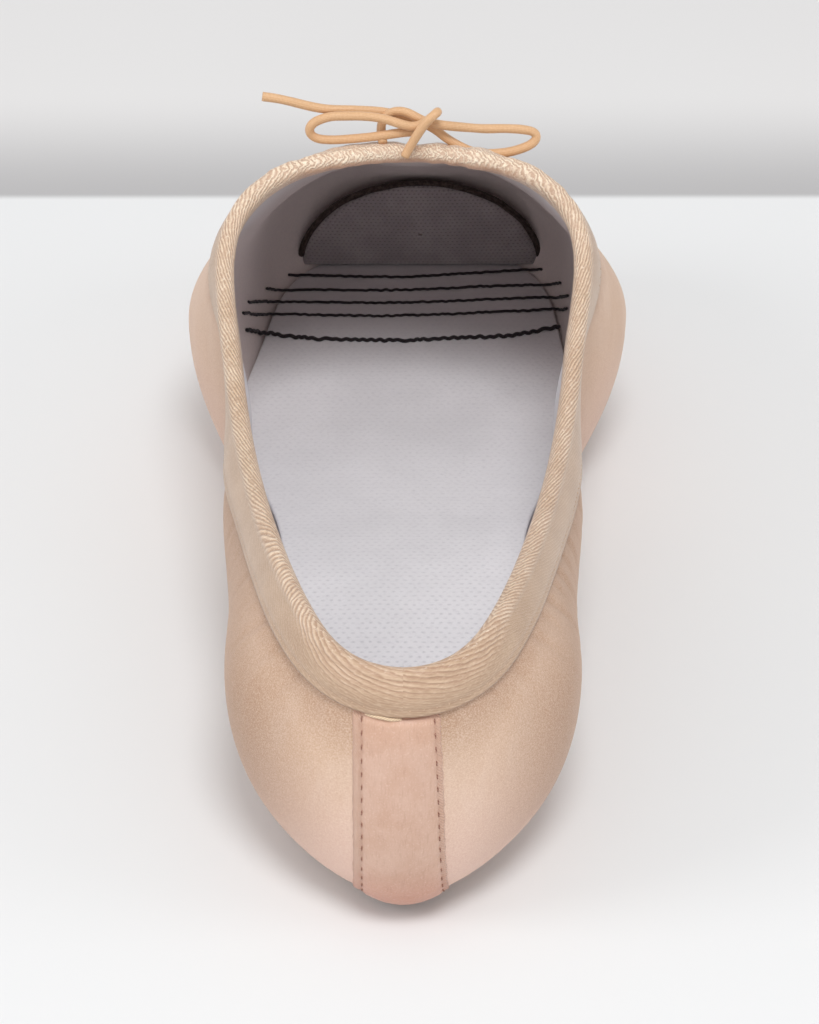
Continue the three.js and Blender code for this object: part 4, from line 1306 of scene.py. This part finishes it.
# Painted shade along the seams and edges, and under the binding where the strip's top tucks in.
strip_shade = 0.25 * np.exp(-((from_seam / 0.3) ** 2))
strip_shade = strip_shade + 0.3 * smooth(0.92, 1.0, np.abs(strip_shares))[None, :]
strip_shade = np.maximum(np.clip(strip_shade, 0, 1), 0.8 * (1 - smooth(2.3, 3.4, from_top))[:, None])
heel_strip = grid_object(
    "heel_strip_tape",
    np.concatenate([strip_outer, strip_back[:, ::-1]], axis=1),
    u=closed(front_and_back(np.broadcast_to(strip_gone[:, None], offset.shape))),
    v=closed(front_and_back(offset)),
    masks={
        "edge": front_and_back(np.clip(from_seam / 0.4 + 0.4, 0, 1)),
        "crease_shade": front_and_back(strip_shade),
    },
)
dress(heel_strip, "tape", strip_finish(), stands_for=["heel_strip"])

seam_paths = []
for side in (-1, 1):
    at = SEAM_START
    while at < strip_gone[-1] - SEAM_END:
        levels = np.interp(np.linspace(at, at + SEAM_STITCH, 5), strip_gone, strip_levels)
        seam_places = np.array([strip_place(side * strip_half(level), level) for level in levels])
        seam_paths.append(lifted(seam_places, levels, np.array([0.25, 0.5, 0.56, 0.5, 0.25])))
        at += SEAM_PITCH
heel_stitches = tubes_object("heel_strip_stitches", seam_paths, SEAM_RADIUS)
dress(heel_stitches, "tape", thread_finish("brown_pink_thread", (136, 94, 80), (172, 128, 110)))

# A small glossy fold that shows under the binding at the top of the strip

FOLD_POINTS = 40
FOLD_RADIUS = 0.34
fold_x = np.linspace(-5.7, -0.2, FOLD_POINTS)
heel_line = face_point(near_places, strip_top)[:, 0]
fold_places = np.interp(fold_x, heel_line, near_places)
fold_depth = BINDING_DEPTH_OUTSIDE * COLUMNS["band"](fold_places) + 0.35
fold_depth = fold_depth + 0.12 * value_noise(fold_x, 43, 1.7)
fold_level = heights_below(fold_places, fold_depth)
fold_rise = 0.1 + 0.7 * np.sin(np.linspace(0, np.pi, FOLD_POINTS)) ** 0.5
heel_fold = tubes_object("heel_fold", [lifted(fold_places, fold_level, fold_rise)], FOLD_RADIUS, 10)
dress(heel_fold, "tape", thread_finish("cream_fold", (214, 184, 150), (242, 218, 188), 0.3))

# The insole

INSOLE_AROUND = 420
insole_places = even_places(INSOLE_AROUND)


def insole_edge(level, inset):
    heights = np.linspace(-1, 0.5, 240)
    points = face_point(insole_places[None, :], heights[:, None])
    inner = lifted(insole_places[None, :], heights[:, None], -wall_at(points[..., 1]))
    above = inner[..., 2] - margin_top(inner[..., 1]) - level
    edge = np.empty((INSOLE_AROUND, 3))
    for i in range(INSOLE_AROUND):
        k = max(int(np.argmax(above[:, i] > 0)), 1)
        share = above[k - 1, i] / (above[k - 1, i] - above[k, i])
        edge[i] = inner[k - 1, i] + share * (inner[k, i] - inner[k - 1, i])
    gap = INSOLE_WAIST_SHARE * COLUMNS["gap"](insole_places)
    edge = inward(insole_places, edge, INSOLE_CLEARANCE + gap + inset)
    edge[:, 2] = margin_top(edge[:, 1]) + level
    return edge


def drawn_in(edge, share):
    """A loop drawn in towards the shoe's middle line, to so small a share of its width."""
    ring = edge.copy()
    ring[:, 1] = 0.5 * LENGTH + (edge[:, 1] - 0.5 * LENGTH) * max(share, 0.02) ** 0.25
    ring[:, 0] = swing(ring[:, 1]) + (edge[:, 0] - swing(edge[:, 1])) * share
    return ring


INSOLE_ROUNDING = 0.9
rounding_foot = GAP + INSOLE_THICKNESS - INSOLE_ROUNDING
loops = [insole_edge(GAP + 0.1, INSOLE_ROUNDING)]
for turn in np.linspace(0, math.pi / 2, 7):
    level = rounding_foot + INSOLE_ROUNDING * math.sin(turn)
    loops.append(insole_edge(level, INSOLE_ROUNDING * (1 - math.cos(turn))))
edge = loops[-1]
for share in np.append(np.linspace(1, 0.02, 46)[1:], 0.0):
    ring = drawn_in(edge, share)
    ring[:, 2] = insole_top(ring[:, 1]) + 0.25 * (1 - share**3)
    loops.append(ring)
insole = grid_object("insole_sock", np.stack(loops))
weld(insole, 0.1)
dress(insole, "insole_cloth", insole_finish(), stands_for=["insole"])

# Five rows of dark thread across the insole in front of the cushion

THREAD_POINTS = 280
THREAD_RADIUS = 0.3
THICK_THREAD_RADIUS = 0.42
ZIGZAG_PITCH = 1.9
# How far each row wanders, and its points: right, forward and up from the insole. The ends climb the walls.
THREAD_ROWS = [
    (0.12, [
        (-24.1, 225.1, 0.9), (-22.8, 225.9, 0.4), (-15.3, 225.7, 0.35), (-6.3, 225.3, 0.35),
        (2.6, 225.4, 0.35), (11.6, 226.4, 0.35), (20.5, 227.3, 0.35), (27.0, 227.9, 0.4),
        (29.4, 226.7, 1.1),
    ]),
    (0.14, [
        (-28.4, 215.5, 3.8), (-27.0, 218.5, 1.6), (-25.8, 220.1, 0.5), (-18.4, 220.4, 0.35),
        (-8.0, 220.2, 0.35), (2.3, 220.4, 0.35), (12.6, 221.2, 0.35), (22.9, 222.0, 0.35),
        (30.7, 222.1, 0.4), (31.7, 220.6, 1.6), (32.9, 217.4, 3.8),
    ]),
    (0.16, [
        (-31.8, 202.3, 8.8), (-30.5, 206.6, 6.3), (-29.5, 209.9, 4.3), (-28.0, 214.1, 1.6),
        (-26.4, 215.9, 0.4), (-15.6, 215.8, 0.35), (-4.5, 215.6, 0.35), (6.7, 216.0, 0.35),
        (17.9, 216.8, 0.35), (29.1, 217.5, 0.35), (32.0, 216.9, 0.7), (33.0, 214.5, 2.4),
        (34.2, 209.4, 5.9),
    ]),
    (0.18, [
        (-32.8, 198.5, 8.6), (-31.5, 202.1, 6.4), (-30.5, 204.7, 4.5), (-29.1, 209.1, 1.8),
        (-27.4, 211.4, 0.4), (-16.5, 211.2, 0.35), (-5.2, 210.8, 0.35), (6.1, 211.2, 0.35),
        (17.4, 212.1, 0.35), (28.7, 213.0, 0.35), (31.5, 213.2, 0.4), (32.7, 212.2, 0.9),
        (34.0, 207.9, 3.9),
    ]),
    (0.4, [
        (-32.2, 198.0, 5.0), (-30.9, 201.0, 2.9), (-29.9, 203.3, 1.4), (-28.3, 204.2, 0.5),
        (-21.7, 202.7, 0.4), (-10.8, 202.0, 0.4), (0.1, 201.5, 0.4), (11.0, 202.3, 0.4),
        (22.0, 203.5, 0.4), (28.8, 205.5, 0.4), (32.6, 206.7, 0.4),
    ]),
]
row_paths = []
for k, (wander, points) in enumerate(THREAD_ROWS):
    line = catmull_rom(points, THREAD_POINTS)
    gone = np.linspace(0, distance_along(line)[-1], THREAD_POINTS)
    zigzag = np.sin(2 * np.pi * gone / ZIGZAG_PITCH + 2.2 * value_noise(gone, 60 + k, 3.0))
    line[:, 1] += wander * (0.6 * zigzag + 0.7 * value_noise(gone, 70 + k, 1.3))
    line[:, 2] += insole_top(line[:, 1]) + 0.05 + 0.08 * value_noise(gone, 80 + k, 1.1)
    row_paths.append(line)
dark_thread = thread_finish("near_black_thread", (26, 21, 24), (52, 44, 47), 0.9)
dress(tubes_object("insole_thread_rows", row_paths[:4], THREAD_RADIUS), "cord", dark_thread)
thick_row = tubes_object("insole_thread_row_thick", row_paths[4:], THICK_THREAD_RADIUS)
dress(thick_row, "cord", dark_thread)

# The cushion in the toe box

CUSHION_ROOM = 1.6  # behind the pad
CUSHION_SHIFT = 0.3  # the pad's middle, a little off the box's
PIPING_RADIUS = 0.7
front_wall = lifted(float(RIGHT), 0.0, -wall_at(LENGTH))
cushion_front = front_wall[1] - GAP - CUSHION_THICKNESS - CUSHION_ROOM
cushion_base = float(insole_top(cushion_front))
cushion_x = float(swing(front_wall[1])) + CUSHION_SHIFT
ANGLES = 120
angle = np.linspace(0, math.pi, ANGLES)
foot = np.linspace(-1, 1, 60)[1:-1]
arc = np.stack([np.cos(angle), np.abs(np.sin(angle))], -1)
outline = np.concatenate([arc, np.stack([foot, np.zeros(len(foot))], -1)])
centre = np.array([0.0, 0.42])
rings = []
# the pad's sides, how far they stand in and back, and then its face
sides = [(0.84, 5.2), (0.95, 4.2), (1.0, 2.6), (1.0, 1.5), (0.985, 0.75), (0.955, 0.25)]
for share, back in sides + [(share, None) for share in np.linspace(0.92, 0.02, 22)]:
    shape = centre + (outline - centre) * share
    bulge = -0.9 * (1 - share**2) if back is None else back - 0.1
    rings.append(np.stack([
        cushion_x + shape[:, 0] * CUSHION_WIDTH / 2,
        np.full(len(shape), cushion_front + bulge + 0.25 * math.sin(3 * share)),
        cushion_base + 0.35 + shape[:, 1] * CUSHION_RISE,
    ], -1))
cushion = grid_object("toe_cushion_pad", np.stack(rings))
dress(cushion, "knit", cushion_finish(), stands_for=["toe_cushion"])

# A dark ring along the pad's arc: real edging and painted shade in the gap against the box's wall.
piping_path = np.stack([
    cushion_x + np.cos(angle) * (CUSHION_WIDTH / 2 + 0.2),
    np.full(ANGLES, cushion_front + 0.9) + 0.12 * value_noise(angle * 8, 91),
    cushion_base + 0.5 + np.abs(np.sin(angle)) * (CUSHION_RISE + 0.2) + 0.12 * value_noise(angle * 9, 92),
], -1)
piping_shade = tubes_object("toe_cushion_piping_shade", [catmull_rom(piping_path[::4], 160)], PIPING_RADIUS, 10)
dress(piping_shade, "knit", piping_shade_finish())

# The leather outsole

SOLE_AROUND = 480
sole_places = even_places(SOLE_AROUND)
sole_fold = face_point(sole_places, -1.0)


def sole_loop(level, inset):
    loop = inward(sole_places, sole_fold, OUTSOLE_INSET + inset)
    loop[:, 2] = sole_lift(loop[:, 1]) + level
    return loop


def sole_disc(level, inset, shares):
    edge = sole_loop(level, inset)
    made = []
    for share in shares:
        ring = drawn_in(edge, share)
        ring[:, 2] = sole_lift(ring[:, 1]) + level
        made.append(ring)
    return made


BEVEL = 0.8
TOP_ROUNDING = 0.7
inner_shares = [0.0] + list(np.linspace(0.02, 1, 26))
sole_loops = sole_disc(0.0, 1.0, inner_shares)
rim_mask = [0.0] * (len(sole_loops) - 1) + [0.3]
for turn in np.linspace(0.15, 1, 6) * math.pi / 2:
    sole_loops.append(sole_loop(BEVEL * (1 - math.cos(turn)), 1 - math.sin(turn)))
    rim_mask.append(0.8)
for turn in np.linspace(0, 1, 5) * math.pi / 2:
    level = OUTSOLE_THICKNESS - TOP_ROUNDING * (1 - math.sin(turn))
    sole_loops.append(sole_loop(level, TOP_ROUNDING * (1 - math.cos(turn))))
    rim_mask.append(0.9)
top = sole_disc(OUTSOLE_THICKNESS, 0.8, inner_shares[::-1])
sole_loops += top
rim_mask += [0.4] * len(top)
rim_mask = np.repeat(np.array(rim_mask)[:, None], SOLE_AROUND, axis=1)
outsole = grid_object("leather_outsole", np.stack(sole_loops), masks={"edge": rim_mask})
weld(outsole, 0.06)
dress(outsole, "leather", leather_finish(), stands_for=["outsole"])

# The studio

mesh = bpy.data.meshes.new("floor")
mesh.from_pydata([(-6, -6, 0), (6, -6, 0), (6, 6, 0), (-6, 6, 0)], [], [(0, 1, 2, 3)])
floor = bpy.data.objects.new("floor", mesh)
bpy.context.scene.collection.objects.link(floor)
floor.data.materials.append(floor_finish())

world = bpy.data.worlds.new("studio")
world.use_nodes = True
world.node_tree.nodes["Background"].inputs["Color"].default_value = (1, 1, 1, 1)
world.node_tree.nodes["Background"].inputs["Strength"].default_value = 0.6
bpy.context.scene.world = world
bpy.context.scene.view_settings.view_transform = "Standard"


def soft_light(name, at, towards, size, power):
    data = bpy.data.lights.new(name, "AREA")
    data.shape = "DISK"
    data.size = size
    data.energy = power
    light = bpy.data.objects.new(name, data)
    bpy.context.scene.collection.objects.link(light)
    light.location = at
    light.rotation_euler = (Vector(towards) - Vector(at)).to_track_quat("-Z", "Y").to_euler()


KEY_HIGH = math.radians(64)
KEY_FAR = 1.6
key_at = (0.12, -KEY_FAR * math.cos(KEY_HIGH), KEY_FAR * math.sin(KEY_HIGH))
soft_light("key", key_at, (0, 0, 0.02), 0.6, 10.5)
soft_light("left_fill", (-1.5, -0.5, 0.9), (0, 0, 0.03), 0.9, 7.8)
soft_light("right_fill", (1.5, -0.4, 0.8), (0, 0, 0.03), 0.9, 3.8)
soft_light("heel_fill", (0, -1.7, 0.35), (0, -0.1, 0.03), 0.7, 1.5)
